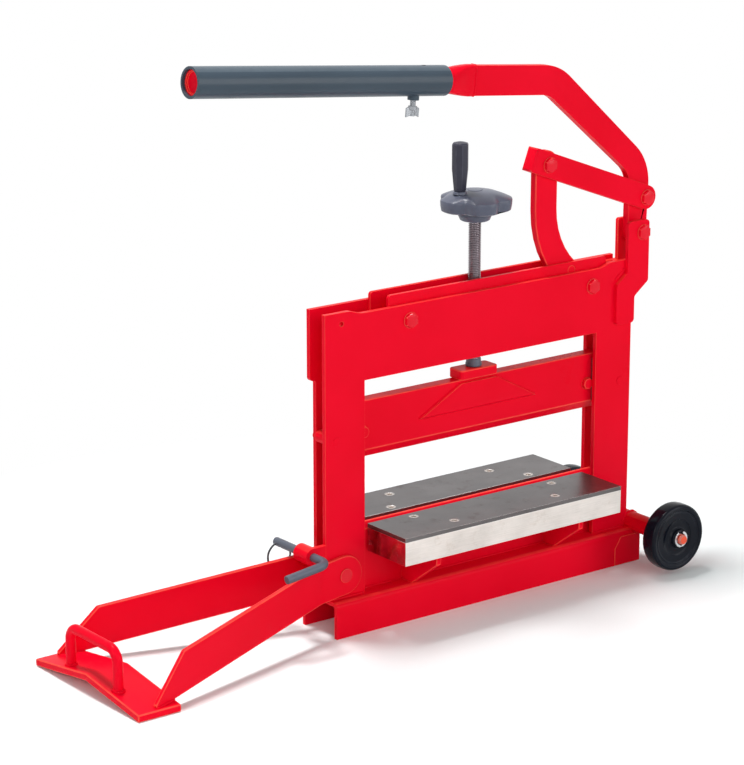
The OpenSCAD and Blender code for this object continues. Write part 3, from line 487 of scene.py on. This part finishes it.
# Its last colour is a painted highlight for the edges of the axle ends.
axle_enamel = enamel("axle_enamel", (0.66, 0.075, 0.040, 1), (0.80, 0.120, 0.065, 1), (0.52, 0.34, 0.30, 1),
                     peel_size=500, dull=0.36)
axle_r, neck_r, tip_r = 0.0075, 0.0060, 0.0066
groove_out = axle_high.y - 0.0050
groove_in = groove_out - 0.0027
tip_in = axle_high.y - 0.0018
shape = bmesh.new()
for side in (-1, 1):
    for start_y, end_y, radius in ((groove_in, groove_out, neck_r), (groove_out, tip_in, axle_r),
                                   (tip_in, axle_high.y, tip_r)):
        round_bar(shape, (axle_middle.x, side * start_y, axle_middle.z),
                  (axle_middle.x, side * end_y, axle_middle.z), radius)
round_bar(shape, (axle_middle.x, -groove_in, axle_middle.z), (axle_middle.x, groove_in, axle_middle.z),
          axle_r)
soften(shape, 0.0008, 3, 40)
settle(shape, "axle_turned", axle_enamel, "frame", ("axle",))

spring_steel = metal("spring_steel", (0.50, 0.51, 0.53, 1), (0.74, 0.75, 0.76, 1), 0.20,
                     line_scale=(30, 300, 30), line_depth=0.15)
clip_y, clip_thick, clip_step = groove_out - 0.0013, 0.0021, 5
arm, tail, prong = (0.0086, 0.0119), (0.0104, 0.0117), (0.0062, 0.0092)
shape = bmesh.new()
for side in (-1, 1):
    y = side * clip_y
    for first_at, sweep, (inner, outer) in ((68, 146, arm), (-98, 146, arm), (-74, 28, tail), (18, 36, prong),
                                            (-162, 36, prong)):
        first = bmesh.ops.create_grid(shape, x_segments=1, y_segments=1, size=0.5)["verts"]
        bmesh.ops.scale(shape, verts=first, vec=(outer - inner, clip_thick, 1))
        bmesh.ops.translate(shape, verts=first, vec=(axle_middle.x + (inner + outer) / 2, y, axle_middle.z))
        bmesh.ops.rotate(shape, verts=first, cent=axle_middle,
                         matrix=Matrix.Rotation(math.radians(-first_at), 3, "Y"))
        faces = list({f for v in first for f in v.link_faces})
        bmesh.ops.spin(shape, geom=faces, cent=axle_middle, axis=(0, 1, 0), angle=math.radians(sweep),
                       steps=max(8, sweep // clip_step), use_merge=False)
bmesh.ops.recalc_face_normals(shape, faces=shape.faces)
soften(shape, 0.0004, 2, 40)
settle(shape, "axle_rings_open", spring_steel, "frame", ("axle_rings",))


# Solid wheels: a black tyre moulded on a black plastic centre.
# The tyre's side has a raised rim with a fine groove inside it; the centre has a dished web and a proud boss.
def turned(shape, profile, middle, axis, steps=96):
    """Spins an outline of (radius, height) about an axis through middle."""
    place = Matrix.Translation(middle) @ Vector(axis).to_track_quat("Z", "Y").to_matrix().to_4x4()
    corners = [shape.verts.new(place @ Vector((radius, 0, height))) for radius, height in profile]
    sides = [shape.edges.new((a, b)) for a, b in zip(corners, corners[1:] + corners[:1])]
    spun(shape, corners + sides, middle, axis, steps)


def moulded(name, dark, light, dull, grain, grain_depth, scuff, gloss):
    """Moulded plastic or rubber: a fine grain, a soft drift of tone and paler scuffs on its edges."""
    finish, shader, place = start(name)
    drift = place.node("TexNoise", None, {"Vector": place, "Scale": 22.0, "Detail": 4.0, "Roughness": 0.6})
    fine = place.node("TexNoise", None, {"Vector": place, "Scale": grain, "Detail": 3.0, "Roughness": 0.6})
    worn = place.node("Attribute", {"attribute_name": "edge"}, out="Fac") * drift.ramp(0.35, 0.65)
    tone = drift.ramp(0.3, 0.72).mix(dark, light)
    tone = (worn * scuff).mix(tone, tuple(min(1, c * 2.2 + 0.02) for c in light[:3]) + (1,))
    bump = fine.node("Bump", None, {"Height": fine, "Strength": grain_depth, "Distance": 0.0005})
    place.feed(shader, {"Base Color": tone, "Roughness": dull + drift * 0.12 + fine * 0.08, "Normal": bump,
                        "Specular IOR Level": gloss})
    return finish


tyre_rubber = moulded("tyre_rubber", (0.0034, 0.0046, 0.0092, 1), (0.0058, 0.0076, 0.0136, 1), 0.07,
                      grain=700, grain_depth=0.06, scuff=0.30, gloss=0.11)
hub_plastic = moulded("hub_plastic", (0.0034, 0.0046, 0.0090, 1), (0.0056, 0.0074, 0.0130, 1), 0.06,
                      grain=900, grain_depth=0.05, scuff=0.30, gloss=0.11)
tyre_side = [(0.0271, 0.0094), (0.0372, 0.0104), (0.0386, 0.0110), (0.0396, 0.0102), (0.0408, 0.0106),
             (0.0418, 0.0122), (0.0450, 0.0130), (0.0476, 0.0122), (0.0494, 0.0094), (0.0500, 0.0052)]
hub_side = [(0.00755, 0.0160), (0.0118, 0.0160), (0.0130, 0.0152), (0.0138, 0.0112), (0.0160, 0.0090),
            (0.0205, 0.0080), (0.0255, 0.0086), (0.0270, 0.0093)]
for side, end in (("front", -1), ("rear", 1)):
    low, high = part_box(side + "_wheel")
    middle = (low + high) / 2
    shape = bmesh.new()
    turned(shape, [(r, -h) for r, h in tyre_side] + tyre_side[::-1], middle, (0, end, 0), 120)
    soften(shape, 0.0007, 2, 14)
    settle(shape, side + "_tyre", tyre_rubber, side + "_wheel", (side + "_wheel",))
    shape = bmesh.new()
    turned(shape, [(r, -h) for r, h in hub_side] + hub_side[::-1], middle, (0, end, 0))
    soften(shape, 0.0006, 2, 20)
    settle(shape, side + "_hub_moulded", hub_plastic, side + "_wheel", (side + "_hub",))


# The lower knife is a red bar on edge along the base, its top ground to a blunt ridge between the two tables.
# Four gusset plates under the tables are welded to its sides and to the base.
dressed("lower_knife", red_enamel, "frame", 0.0011)
dressed("table_brackets", red_enamel, "frame", 0.0010)
knife_low, knife_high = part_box("lower_knife")
weld_left, weld_right = knife_low.x + 0.004, knife_high.x - 0.004
for tag, y in (("front", knife_low.y), ("rear", knife_high.y)):
    bead("knife_weld_" + tag, (weld_left, y, base_high.z), (weld_right, y, base_high.z), 0.0022, "frame")


# Each table is a bare ground steel block under a darker hardened wear plate with countersunk socket screws.
# The block's sides are bright with faint grinding lines; the plate's dark tone is partly painted shade.
# Both have a painted highlight along their edges, and the plate has dark stained patches.
block_steel = metal("block_steel", (0.54, 0.50, 0.465, 1), (0.80, 0.74, 0.70, 1), 0.26, line_scale=(3, 3, 90),
                    line_depth=0.08, metallic=0.80, stained=(0.40, 0.29, 0.20, 1), bright=0.5)
# The plate's dark tone is partly painted shade over mid-dark steel, and its paler edges are a painted
# highlight.
plate_steel = metal("plate_steel", (0.085, 0.077, 0.078, 1), (0.165, 0.152, 0.152, 1), 0.26,
                    line_scale=(3, 90, 90), line_depth=0.10, metallic=0.9, stained=(0.10, 0.07, 0.06, 1),
                    bright=0.85)
block_end_steel = metal("block_end_steel", (0.10, 0.085, 0.085, 1), (0.80, 0.76, 0.73, 1), 0.10,
                        line_scale=(8, 8, 8), line_depth=0.10, stained=(0.05, 0.04, 0.045, 1), bright=0.5)
screw_steel = metal("screw_steel", (0.42, 0.36, 0.32, 1), (0.70, 0.66, 0.62, 1), 0.28,
                    line_scale=(60, 60, 60), line_depth=0.12)
end_facing = 0.9
for side in ("front", "rear"):
    block = dressed(side + "_table_block", block_steel, "frame", 0.0009, 2)
    block.data.materials.append(block_end_steel)
    for face in block.data.polygons:
        if abs(face.normal.x) > end_facing:
            face.material_index = 1
    dressed(side + "_table_plate", plate_steel, "frame", 0.0007, 2)

screw_low, screw_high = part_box("table_screws")
centre_x = (screw_low.x + screw_high.x) / 2
head_r, head_h, head_below = 0.0068, 0.0038, 0.0002
shank_r, shank_len, shank_lap = 0.0034, 0.0225, 0.0004
socket_wall, socket_depth, facing_up = 0.0031, 0.0026, 0.9
shape = bmesh.new()
for end in (-1, 1):
    for side in (-1, 1):
        for dx, dy in ((0.126, 0.026), (0.092, 0.074)):
            spot = Vector((centre_x + end * dx, side * dy, screw_high.z))
            head_at = spot - Vector((0, 0, (head_h + head_below) / 2))
            head = bmesh.ops.create_cone(shape, cap_ends=True, segments=36, radius1=shank_r, radius2=head_r,
                                         depth=head_h - head_below,
                                         matrix=Matrix.Translation(head_at))["verts"]
            top = [f for f in {f for v in head for f in v.link_faces} if f.normal.z > facing_up]
            bmesh.ops.inset_region(shape, faces=top, thickness=socket_wall)
            socket = bmesh.ops.extrude_face_region(shape, geom=top)["geom"]
            bmesh.ops.delete(shape, geom=top, context="FACES_ONLY")
            bmesh.ops.translate(shape, verts=points_of(socket), vec=(0, 0, -socket_depth))
            shank_at = spot - Vector((0, 0, head_h + shank_len / 2 - shank_lap))
            bmesh.ops.create_cone(shape, cap_ends=True, segments=24, radius1=shank_r, radius2=shank_r,
                                  depth=shank_len, matrix=Matrix.Translation(shank_at))
soften(shape, 0.0003, 2, 40)
settle(shape, "table_screws_socketed", screw_steel, "frame", ("table_screws",))


# The folding foot rest: two flat arms bent outwards to a shallow folded plate with a round-bar grab handle.
# Everything is welded and sprayed red; the arms turn on bolts through the portal posts.
bolt_low, bolt_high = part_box("foot_pivot_bolts")
bolt_at = (bolt_low + bolt_high) / 2
head_out, head_in = bolt_high.y, bolt_high.y - 0.0015
nut_in, nut_out = 0.010, 0.016
head_d, nut_d, shank_d, lap = 0.020, 0.022, 0.012, 0.0002
shape = bmesh.new()
for end in (-1, 1):
    disc(shape, bolt_at, *sorted((end * head_in, end * head_out)), head_d)
    hex_head(shape, bolt_at, *sorted((end * nut_in, end * nut_out)), nut_d, -end)
    disc(shape, bolt_at, *sorted((end * (nut_out - lap), end * (head_in + lap))), shank_d)
soften(shape, 0.0005, 2, 40)
settle(shape, "foot_pivot_bolts_turned", bolt_enamel, "frame", ("foot_pivot_bolts",))

for node in ("front_foot_arm", "rear_foot_arm"):
    dressed(node, red_enamel, "foot_rest", 0.0013, 3)
dressed("foot_plate", red_enamel, "foot_rest", 0.0016, 3)
dressed("lock_lug", red_enamel, "frame", 0.0014)


def swept(shape, path, radius, sides=28):
    """A round bar along a chain of points, carried from one to the next."""
    points = [Vector(p) for p in path]
    ways = [(b - a).normalized() for a, b in zip(points, points[1:])]
    turn = ways[0].to_track_quat("Z", "X").to_matrix()
    bmesh.ops.create_circle(shape, cap_ends=True, segments=sides, radius=radius,
                            matrix=Matrix.Translation(points[0]) @ turn.to_4x4())
    rim = shape.edges[:]
    for i in range(1, len(points)):
        made = bmesh.ops.extrude_edge_only(shape, edges=rim)["geom"]
        fresh = points_of(made)
        rim = rim_of(made, fresh)
        bmesh.ops.translate(shape, verts=fresh, vec=points[i] - points[i - 1])
        if i < len(ways):
            bend = ways[i - 1].rotation_difference(ways[i]).to_matrix()
            bmesh.ops.rotate(shape, verts=fresh, cent=points[i], matrix=bend)
    bmesh.ops.contextual_create(shape, geom=rim)
    bmesh.ops.recalc_face_normals(shape, faces=shape.faces)


def arc(centre, u, v, radius, first, last, steps=10):
    """Points round a centre from one angle to another, from the direction u towards v."""
    angles = [math.radians(first + (last - first) * i / steps) for i in range(steps + 1)]
    return [Vector(centre) + Vector(u) * radius * math.cos(a) + Vector(v) * radius * math.sin(a)
            for a in angles]


grab_low, grab_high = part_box("grab_handle")
grab_x = (grab_low.x + grab_high.x) / 2
bar_r = (grab_high.x - grab_low.x) / 2
leg_y = grab_high.y - bar_r
bend_r = 0.018
bend_z = grab_high.z - bar_r - bend_r
foot_z = grab_low.z - 0.001
shape = bmesh.new()
path = [(grab_x, leg_y, foot_z)]
path += arc((grab_x, leg_y - bend_r, bend_z), (0, 1, 0), (0, 0, 1), bend_r, 0, 90)
path += arc((grab_x, bend_r - leg_y, bend_z), (0, -1, 0), (0, 0, 1), bend_r, 90, 0)
path += [(grab_x, -leg_y, foot_z)]
swept(shape, path, bar_r)
soften(shape, 0.0006, 2, 40)
settle(shape, "grab_handle_bent", red_enamel, "foot_rest", ("grab_handle",))

plate_half, plate_edge, ridge_rise = 0.127, 0.010, 0.018
slope = math.atan2(ridge_rise, plate_half)
grab_weld_z = plate_edge + ridge_rise * (1 - leg_y / plate_half) + 0.0006
for tag, side in (("front", -1), ("rear", 1)):
    ring_bead("grab_weld_" + tag, (grab_x, side * leg_y, grab_weld_z), -side * slope, bar_r + 0.0004, 0.0021,
              "foot_rest")
arm_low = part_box("front_foot_arm")[0]
toe_x, heel_x, arm_lean = arm_low.x + 0.001, arm_low.x + 0.035, 0.0097
toe_z, heel_z = 0.0112, 0.0127
for tag, side in (("front", -1), ("rear", 1)):
    for face, y in (("out", 0.1226), ("in", 0.1152)):
        bead(f"toe_weld_{tag}_{face}", (toe_x, side * y, toe_z), (heel_x, side * (y - arm_lean), heel_z),
             0.0021, "foot_rest")


# The lock pin, a bent round bar through the lug, keeps the foot rest down and has a keeper ring in its tail.
# It is blackened steel with faint drawn lines; the ring is plain dark wire.
blackened = metal("blackened_steel", (0.066, 0.077, 0.104, 1), (0.092, 0.105, 0.138, 1), 0.36,
                  line_scale=(60, 200, 60), line_depth=0.12, metallic=0.20)
pin_low, pin_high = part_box("lock_pin")
pin_r, elbow_r, leg_len = 0.006, 0.014, 0.070
pin_x, pin_z = pin_high.x - pin_r, pin_high.z - pin_r
leg_root = Vector((pin_x, pin_low.y + pin_r, pin_z))
droop = math.radians(7)
leg_way = Vector((-math.cos(droop), 0, -math.sin(droop)))
shape = bmesh.new()
path = [(pin_x, pin_high.y, pin_z)]
path += arc(leg_root + Vector((0, elbow_r, 0)) + leg_way * elbow_r, -leg_way, (0, -1, 0), elbow_r, 0, 90)
path += [leg_root + leg_way * leg_len]
swept(shape, path, pin_r)
soften(shape, 0.0012, 3, 40)
settle(shape, "lock_pin_bent", blackened, "lock_pin", ("lock_pin",))

ring_wire = metal("ring_wire", (0.020, 0.022, 0.028, 1), (0.045, 0.048, 0.058, 1), 0.34,
                  line_scale=(60, 60, 60), line_depth=0.10, metallic=0.3)
ring_low, ring_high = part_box("keeper_ring")
ring_middle = (ring_low + ring_high) / 2
ring_r, wire_r = 0.019, 0.0014
shape = bmesh.new()
bmesh.ops.create_circle(shape, segments=14, radius=wire_r,
                        matrix=Matrix.Translation(ring_middle + Vector((ring_r, 0, 0))))
spun(shape, shape.edges[:] + shape.verts[:], ring_middle, (0, 1, 0), 64)
smooth(shape)
settle(shape, "keeper_ring_wire", ring_wire, "keeper_ring", ("keeper_ring",))


# The blade is a heavy red bar with a blunt ground edge, hung under the spindle by a saddle and two gussets.
# Bare guide shoes at its ends slide between the portal plates, on studs that are painted with the blade.
slide_steel = metal("slide_steel", (0.20, 0.19, 0.19, 1), (0.36, 0.35, 0.34, 1), 0.30,
                    line_scale=(50, 50, 4), line_depth=0.14)
dressed("blade_bar", red_enamel, "blade", 0.0012, 3)
dressed("blade_saddle", red_enamel, "blade", 0.0016, 3)
dressed("guide_shoes", slide_steel, "blade", 0.0008, 2)
dressed("guide_studs", red_enamel, "blade", 0.0012, 3)
gusset_low, gusset_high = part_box("blade_gussets")
dressed("blade_gussets", red_enamel, "blade", 0.0010, 3,
        melted=lambda v: v.z < gusset_low.z + on_face and abs(v.y) > gusset_high.y - on_face)
gusset_x = (gusset_low.x + gusset_high.x) / 2
weld_inset, weld_drop, top_half, foot_half = 0.004, 0.001, 0.032, 0.105
for tag, y in (("front", gusset_low.y + weld_inset), ("rear", gusset_high.y - weld_inset)):
    for hand, end in (("left", -1), ("right", 1)):
        bead(f"gusset_weld_{tag}_{hand}", (gusset_x + end * top_half, y, gusset_high.z - weld_drop),
             (gusset_x + end * foot_half, y, gusset_low.z + weld_drop), 0.0019, "blade")


# The rocker: two flat plates with a tube between, turning on the left bolt and carrying the spindle's nut.
# A drive pin through both is pushed by the bent arm on the right.
dressed("rocker_front_plate", red_enamel, "rocker", 0.0013, 3)
dressed("rocker_rear_plate", red_enamel, "rocker", 0.0013, 3)
dressed("rocker_spacers", red_enamel, "rocker", 0.0008, 2)
dressed("drive_pin", red_enamel, "rocker", 0.0010, 3)
dressed("trunnion_nut", red_enamel, "nut", 0.0012, 3)
dressed("drive_arm", red_enamel, "drive_arm", 0.0015, 3)


# The link strap is a flat bar folded to a fork round the lever and the drive arm, bolted through each end.
# The corners of its closed end are melted rounder than the rest, as a hot fold leaves them.
strap_ends = [sum(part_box(node), Vector()) / 2 for node in ("link_arm_bolt", "link_lever_bolt")]
strap_way = (strap_ends[1] - strap_ends[0]).normalized()
fold_at = min(v.co.dot(strap_way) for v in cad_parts["link_strap"].data.vertices)
dressed("link_strap", red_enamel, "link", 0.0013, 3,
        melted=lambda v: v.dot(strap_way) < fold_at + on_face)
pivot_bolt("link_lever_bolt", "link")
pivot_bolt("link_arm_bolt", "link")


# The lever is a flame-cut flat bar with two bends, red all over.
# A bush beside it fills the gap to the front ear.
dressed("lever_bar", red_enamel, "lever", 0.0016, 3)
dressed("lever_bushes", red_enamel, "lever", 0.0008, 2)


# The lever's tube is pressed flat at one end over the bar and welded; the rest is round, inside the sleeve.
# The press leaves a flared cheek between the flat end and the round tube, whose far end is capped.
def edges_at(points):
    """The edges that meet these points."""
    return list({e for v in points for e in v.link_edges})


def bridged(shape, loops):
    """Joins a row of loops into one skin."""
    for a, b in zip(loops, loops[1:]):
        bmesh.ops.bridge_loops(shape, edges=a + b)


tilt = math.radians(5.62)
along = Vector((-math.cos(tilt), 0, math.sin(tilt)))
upward = Vector((math.sin(tilt), 0, math.cos(tilt)))
shoulder, straight_len = Vector((0.2905, -0.0042, 0.73155)), 0.158
bar_end = shoulder + along * straight_len
to_handle = Matrix((upward, (0, 1, 0), along)).transposed().to_4x4()
handle_at = Matrix.Translation(bar_end) @ to_handle
tube_r, mouth_r, cap_depth, tube_len, flare_len = 0.0175, 0.0145, 0.003, 0.4470, 0.0360
squareness = 2.2
shape = bmesh.new()
loops = []
for height, half_up, half_out, square in (
    (-0.0150, 0.0212, 0.0063, 1.0), (-0.0130, 0.0220, 0.0072, 0.95), (-0.0040, 0.0219, 0.0082, 0.8),
    (0.0060, 0.0211, 0.0104, 0.5), (0.0160, 0.0199, 0.0138, 0.22), (0.0270, 0.0184, 0.0166, 0.05),
    (flare_len, tube_r, tube_r, 0.0), (tube_len, tube_r, tube_r, 0.0),
):
    power = 1 + square * squareness
    ring = bmesh.ops.create_circle(shape, segments=64, radius=1.0)["verts"]
    for v in ring:
        reach = (abs(v.co.x) ** (2 * power) + abs(v.co.y) ** (2 * power)) ** (-0.5 / power)
        v.co = handle_at @ Vector((v.co.x * reach * half_up, v.co.y * reach * half_out, height))
    loops.append(edges_at(ring))
bridged(shape, loops)
bmesh.ops.contextual_create(shape, geom=loops[0])
made = bmesh.ops.extrude_edge_only(shape, edges=loops[-1])["geom"]
inner = points_of(made)
mouth = handle_at @ Vector((0, 0, tube_len))
for v in inner:
    v.co = mouth + (v.co - mouth) * (mouth_r / tube_r)
made = bmesh.ops.extrude_edge_only(shape, edges=rim_of(made, inner))["geom"]
cap = points_of(made)
bmesh.ops.translate(shape, verts=cap, vec=along * -cap_depth)
bmesh.ops.contextual_create(shape, geom=rim_of(made, cap))
bmesh.ops.recalc_face_normals(shape, faces=shape.faces)
soften(shape, 0.0007, 2, 50)
settle(shape, "lever_tube_pressed", red_enamel, "lever", ("lever_tube",))

seam = bar_end - along * 0.0148
cheek_out, cheek_half, rim_up, rim_half = 0.0064, 0.019, 0.0207, 0.0055
for tag, side in (("front", -1), ("rear", 1)):
    cheek = seam + Vector((0, side * cheek_out, 0))
    bead("tube_weld_" + tag, cheek + upward * cheek_half, cheek - upward * cheek_half, 0.0015, "lever")
for tag, side in (("top", 1), ("bottom", -1)):
    spot = seam + upward * side * rim_up
    bead("tube_weld_" + tag, spot - Vector((0, rim_half, 0)), spot + Vector((0, rim_half, 0)), 0.0019,
         "lever")


# The handle sleeve slides on the tube to lengthen the lever; it is enamelled slate grey, its mouth turned in.
# A wing screw in a welded boss under it clamps it, and a peep hole on top shows the red tube inside.
# Its last colour is a painted highlight for the sleeve's edges.
slate_enamel = enamel("slate_enamel", (0.029, 0.047, 0.067, 1), (0.039, 0.061, 0.085, 1),
                      (0.16, 0.20, 0.23, 1), peel_size=520, dull=0.30, gloss=0.26, coat_weight=0.08)
dressed("handle_sleeve", slate_enamel, "sleeve", 0.0013, 3)

zinc = metal("zinc_plate", (0.17, 0.18, 0.20, 1), (0.48, 0.50, 0.52, 1), 0.18, line_scale=(60, 60, 60),
             line_depth=0.12)
screw_spot = handle_at @ Vector((0, 0, flare_len + 0.050))
screw_r, screw_from, screw_to = 0.0038, -0.0179, -0.0479
ridge_r, ridge_h, ridge_gap, first_ridge, ridges = 0.0040, 0.0007, 0.0013, -0.0275, 9
boss_r, boss_from, boss_to = 0.0062, -0.0340, -0.0395
wing_size, wing_up, wing_out, wing_sweep, wing_taper = (0.0125, 0.0034, 0.0075), -0.0405, 0.0071, 0.0028, 0.75
sides = 24
shape = bmesh.new()
round_bar(shape, screw_spot + upward * screw_from, screw_spot + upward * screw_to, screw_r, sides)
for step in range(ridges):
    spot = screw_spot + upward * (first_ridge - step * ridge_gap)
    round_bar(shape, spot, spot + upward * ridge_h, ridge_r, sides)
round_bar(shape, screw_spot + upward * boss_from, screw_spot + upward * boss_to, boss_r, sides)
for end in (-1, 1):
    wing = bmesh.ops.create_cube(shape, size=1.0)["verts"]
    bmesh.ops.scale(shape, verts=wing, vec=wing_size)
    for v in wing:
        if v.co.z * end > 0:
            v.co.x -= wing_sweep
            v.co.y *= wing_taper
    bmesh.ops.transform(shape, verts=wing, matrix=Matrix.Translation(screw_spot) @ to_handle
                        @ Matrix.Translation((wing_up, 0, end * wing_out)))
soften(shape, 0.0009, 3, 40)
settle(shape, "clamp_screw_winged", zinc, "clamp_screw", ("clamp_screw",))


# The spindle is a coarse-threaded screw that sets the blade's height, in a dark foot ring on the saddle.
# Its thread is a real helix between the foot and the knob, dull grey from oil and dust.
oiled_steel = metal("oiled_steel", (0.12, 0.098, 0.112, 1), (0.36, 0.310, 0.335, 1), 0.20,
                    line_scale=(30, 30, 160), line_depth=0.12, metallic=0.95)
spindle_low, spindle_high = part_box("spindle")
screw_x = (spindle_low.x + spindle_high.x) / 2
pitch, steps_a_turn = 0.0025, 24
core_r, crest_r, root_r = 0.0075, 0.0090, 0.0072
crest_half, root_half = 0.0002, 0.0011
thread_from, thread_to = spindle_low.z + 0.013, spindle_high.z - 0.040
plain_to, plain_from = spindle_low.z + 0.0128, thread_to + 0.0035
core_from, core_to = spindle_low.z + 0.012, thread_to + 0.004
shape = bmesh.new()
for start_z, end_z, radius in ((spindle_low.z, plain_to, crest_r), (core_from, core_to, core_r),
                               (plain_from, spindle_high.z, crest_r)):
    round_bar(shape, (screw_x, 0, start_z), (screw_x, 0, end_z), radius)
soften(shape, 0.0005, 2, 40)
turns = int((thread_to - thread_from) / pitch)
section = shape.faces.new([
    shape.verts.new((screw_x + radius, 0, thread_from + height)) for radius, height in (
        (root_r, -root_half), (crest_r, -crest_half), (crest_r, crest_half), (root_r, root_half))])
bmesh.ops.spin(shape, geom=[section], cent=(screw_x, 0, 0), axis=(0, 0, 1), dvec=(0, 0, pitch / steps_a_turn),
               angle=math.radians(360) * turns, steps=steps_a_turn * turns, use_merge=False)
bmesh.ops.recalc_face_normals(shape, faces=shape.faces)
smooth(shape, 30)
settle(shape, "spindle_threaded", oiled_steel, "spindle", ("spindle",))

foot_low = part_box("spindle_foot")[0]
shape = bmesh.new()
turned(shape, [(0.0091, 0.0), (0.0108, 0.0), (0.0115, 0.0009), (0.0114, 0.0046), (0.0107, 0.0056),
               (0.0104, 0.0108), (0.0097, 0.0119), (0.0091, 0.0119)],
       Vector((screw_x, 0, foot_low.z)), (0, 0, 1), 64)
soften(shape, 0.0003, 2, 30)
settle(shape, "spindle_foot_turned", blackened, "spindle", ("spindle_foot",))


# The knob is a lobed star grip moulded in graphite-grey plastic, domed on top and hollow below.
# A collar under it covers the screw's end, and a cranking grip turns on a stud near its rim.
knob_plastic = moulded("knob_plastic", (0.070, 0.078, 0.114, 1), (0.092, 0.101, 0.142, 1), 0.22,
                       grain=620, grain_depth=0.10, scuff=0.45, gloss=0.35)
wheel_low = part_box("handwheel")[0]
lobes, lobe_turn, lobe_power = 5, math.radians(32), 2.8
shape = bmesh.new()
loops = []
for height, reach, dip in (
    (0.0030, 0.0245, 0.0), (0.0030, 0.0400, 0.0060), (0.0000, 0.0452, 0.0076), (0.0000, 0.0478, 0.0082),
    (0.0014, 0.0502, 0.0088), (0.0080, 0.0515, 0.0090), (0.0148, 0.0519, 0.0090), (0.0166, 0.0512, 0.0088),
    (0.0174, 0.0498, 0.0084), (0.0196, 0.0450, 0.0056), (0.0218, 0.0395, 0.0026), (0.0240, 0.0325, 0.0008),
    (0.0258, 0.0250, 0.0), (0.0270, 0.0170, 0.0), (0.0275, 0.0110, 0.0), (0.0270, 0.0104, 0.0),
    (0.0270, 0.0098, 0.0), (0.0278, 0.0094, 0.0), (0.0280, 0.0085, 0.0), (0.0280, 0.0040, 0.0),
):
    ring = bmesh.ops.create_circle(shape, segments=160, radius=1.0)["verts"]
    for v in ring:
        angle = math.atan2(v.co.y, v.co.x)
        radius = reach - dip * ((1 - math.cos((angle - lobe_turn) * lobes)) / 2) ** lobe_power
        v.co = Vector((screw_x + math.cos(angle) * radius, math.sin(angle) * radius, wheel_low.z + height))
    loops.append(edges_at(ring))
bridged(shape, loops)
bmesh.ops.contextual_create(shape, geom=loops[0])
bmesh.ops.contextual_create(shape, geom=loops[-1])
bmesh.ops.recalc_face_normals(shape, faces=shape.faces)
smooth(shape, 38)
settle(shape, "star_knob", knob_plastic, "spindle", ("handwheel",))

grip_low, grip_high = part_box("crank_grip")
grip_middle = (grip_low + grip_high) / 2
pad_foot = grip_low.z - 0.0043
shape = bmesh.new()
turned(shape, [(0.0042, 0.0), (0.0104, 0.0), (0.0096, 0.0028), (0.0088, 0.0040), (0.0042, 0.0040)],
       Vector((grip_middle.x, grip_middle.y, pad_foot)), (0, 0, 1), 40)
soften(shape, 0.0004, 2, 20)
settle(shape, "grip_pad", knob_plastic, "spindle")

collar_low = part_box("handwheel_collar")[0]
shape = bmesh.new()
turned(shape, [(0.0091, 0.0), (0.0195, 0.0), (0.0212, 0.0012), (0.0228, 0.0052), (0.0239, 0.0072),
               (0.0240, 0.0085), (0.0240, 0.0150), (0.0091, 0.0150)],
       Vector((screw_x, 0, collar_low.z)), (0, 0, 1), 72)
soften(shape, 0.0003, 2, 30)
settle(shape, "knob_collar", knob_plastic, "spindle", ("handwheel_collar",))
dressed("grip_stud", blackened, "spindle", 0.0005, 2)

grip_plastic = moulded("grip_plastic", (0.028, 0.028, 0.044, 1), (0.038, 0.038, 0.057, 1), 0.26,
                       grain=640, grain_depth=0.10, scuff=0.5, gloss=0.25)
half_side = Matrix.Rotation(math.radians(22.5), 4, "Z")
shape = bmesh.new()
loops = []
for height, radius in ((0.0, 0.0060), (0.0, 0.0082), (0.0014, 0.0090), (0.0310, 0.0119), (0.0655, 0.0119),
                       (0.0676, 0.0104), (0.0692, 0.0030)):
    spot = Matrix.Translation((grip_middle.x, grip_middle.y, grip_low.z + height))
    loops.append(edges_at(bmesh.ops.create_circle(shape, segments=8, radius=radius,
                                                  matrix=spot @ half_side)["verts"]))
bridged(shape, loops)
bmesh.ops.contextual_create(shape, geom=loops[0])
bmesh.ops.contextual_create(shape, geom=loops[-1])
bmesh.ops.recalc_face_normals(shape, faces=shape.faces)
soften(shape, 0.0006, 2, 28)
settle(shape, "crank_grip_moulded", grip_plastic, "grip", ("crank_grip",))
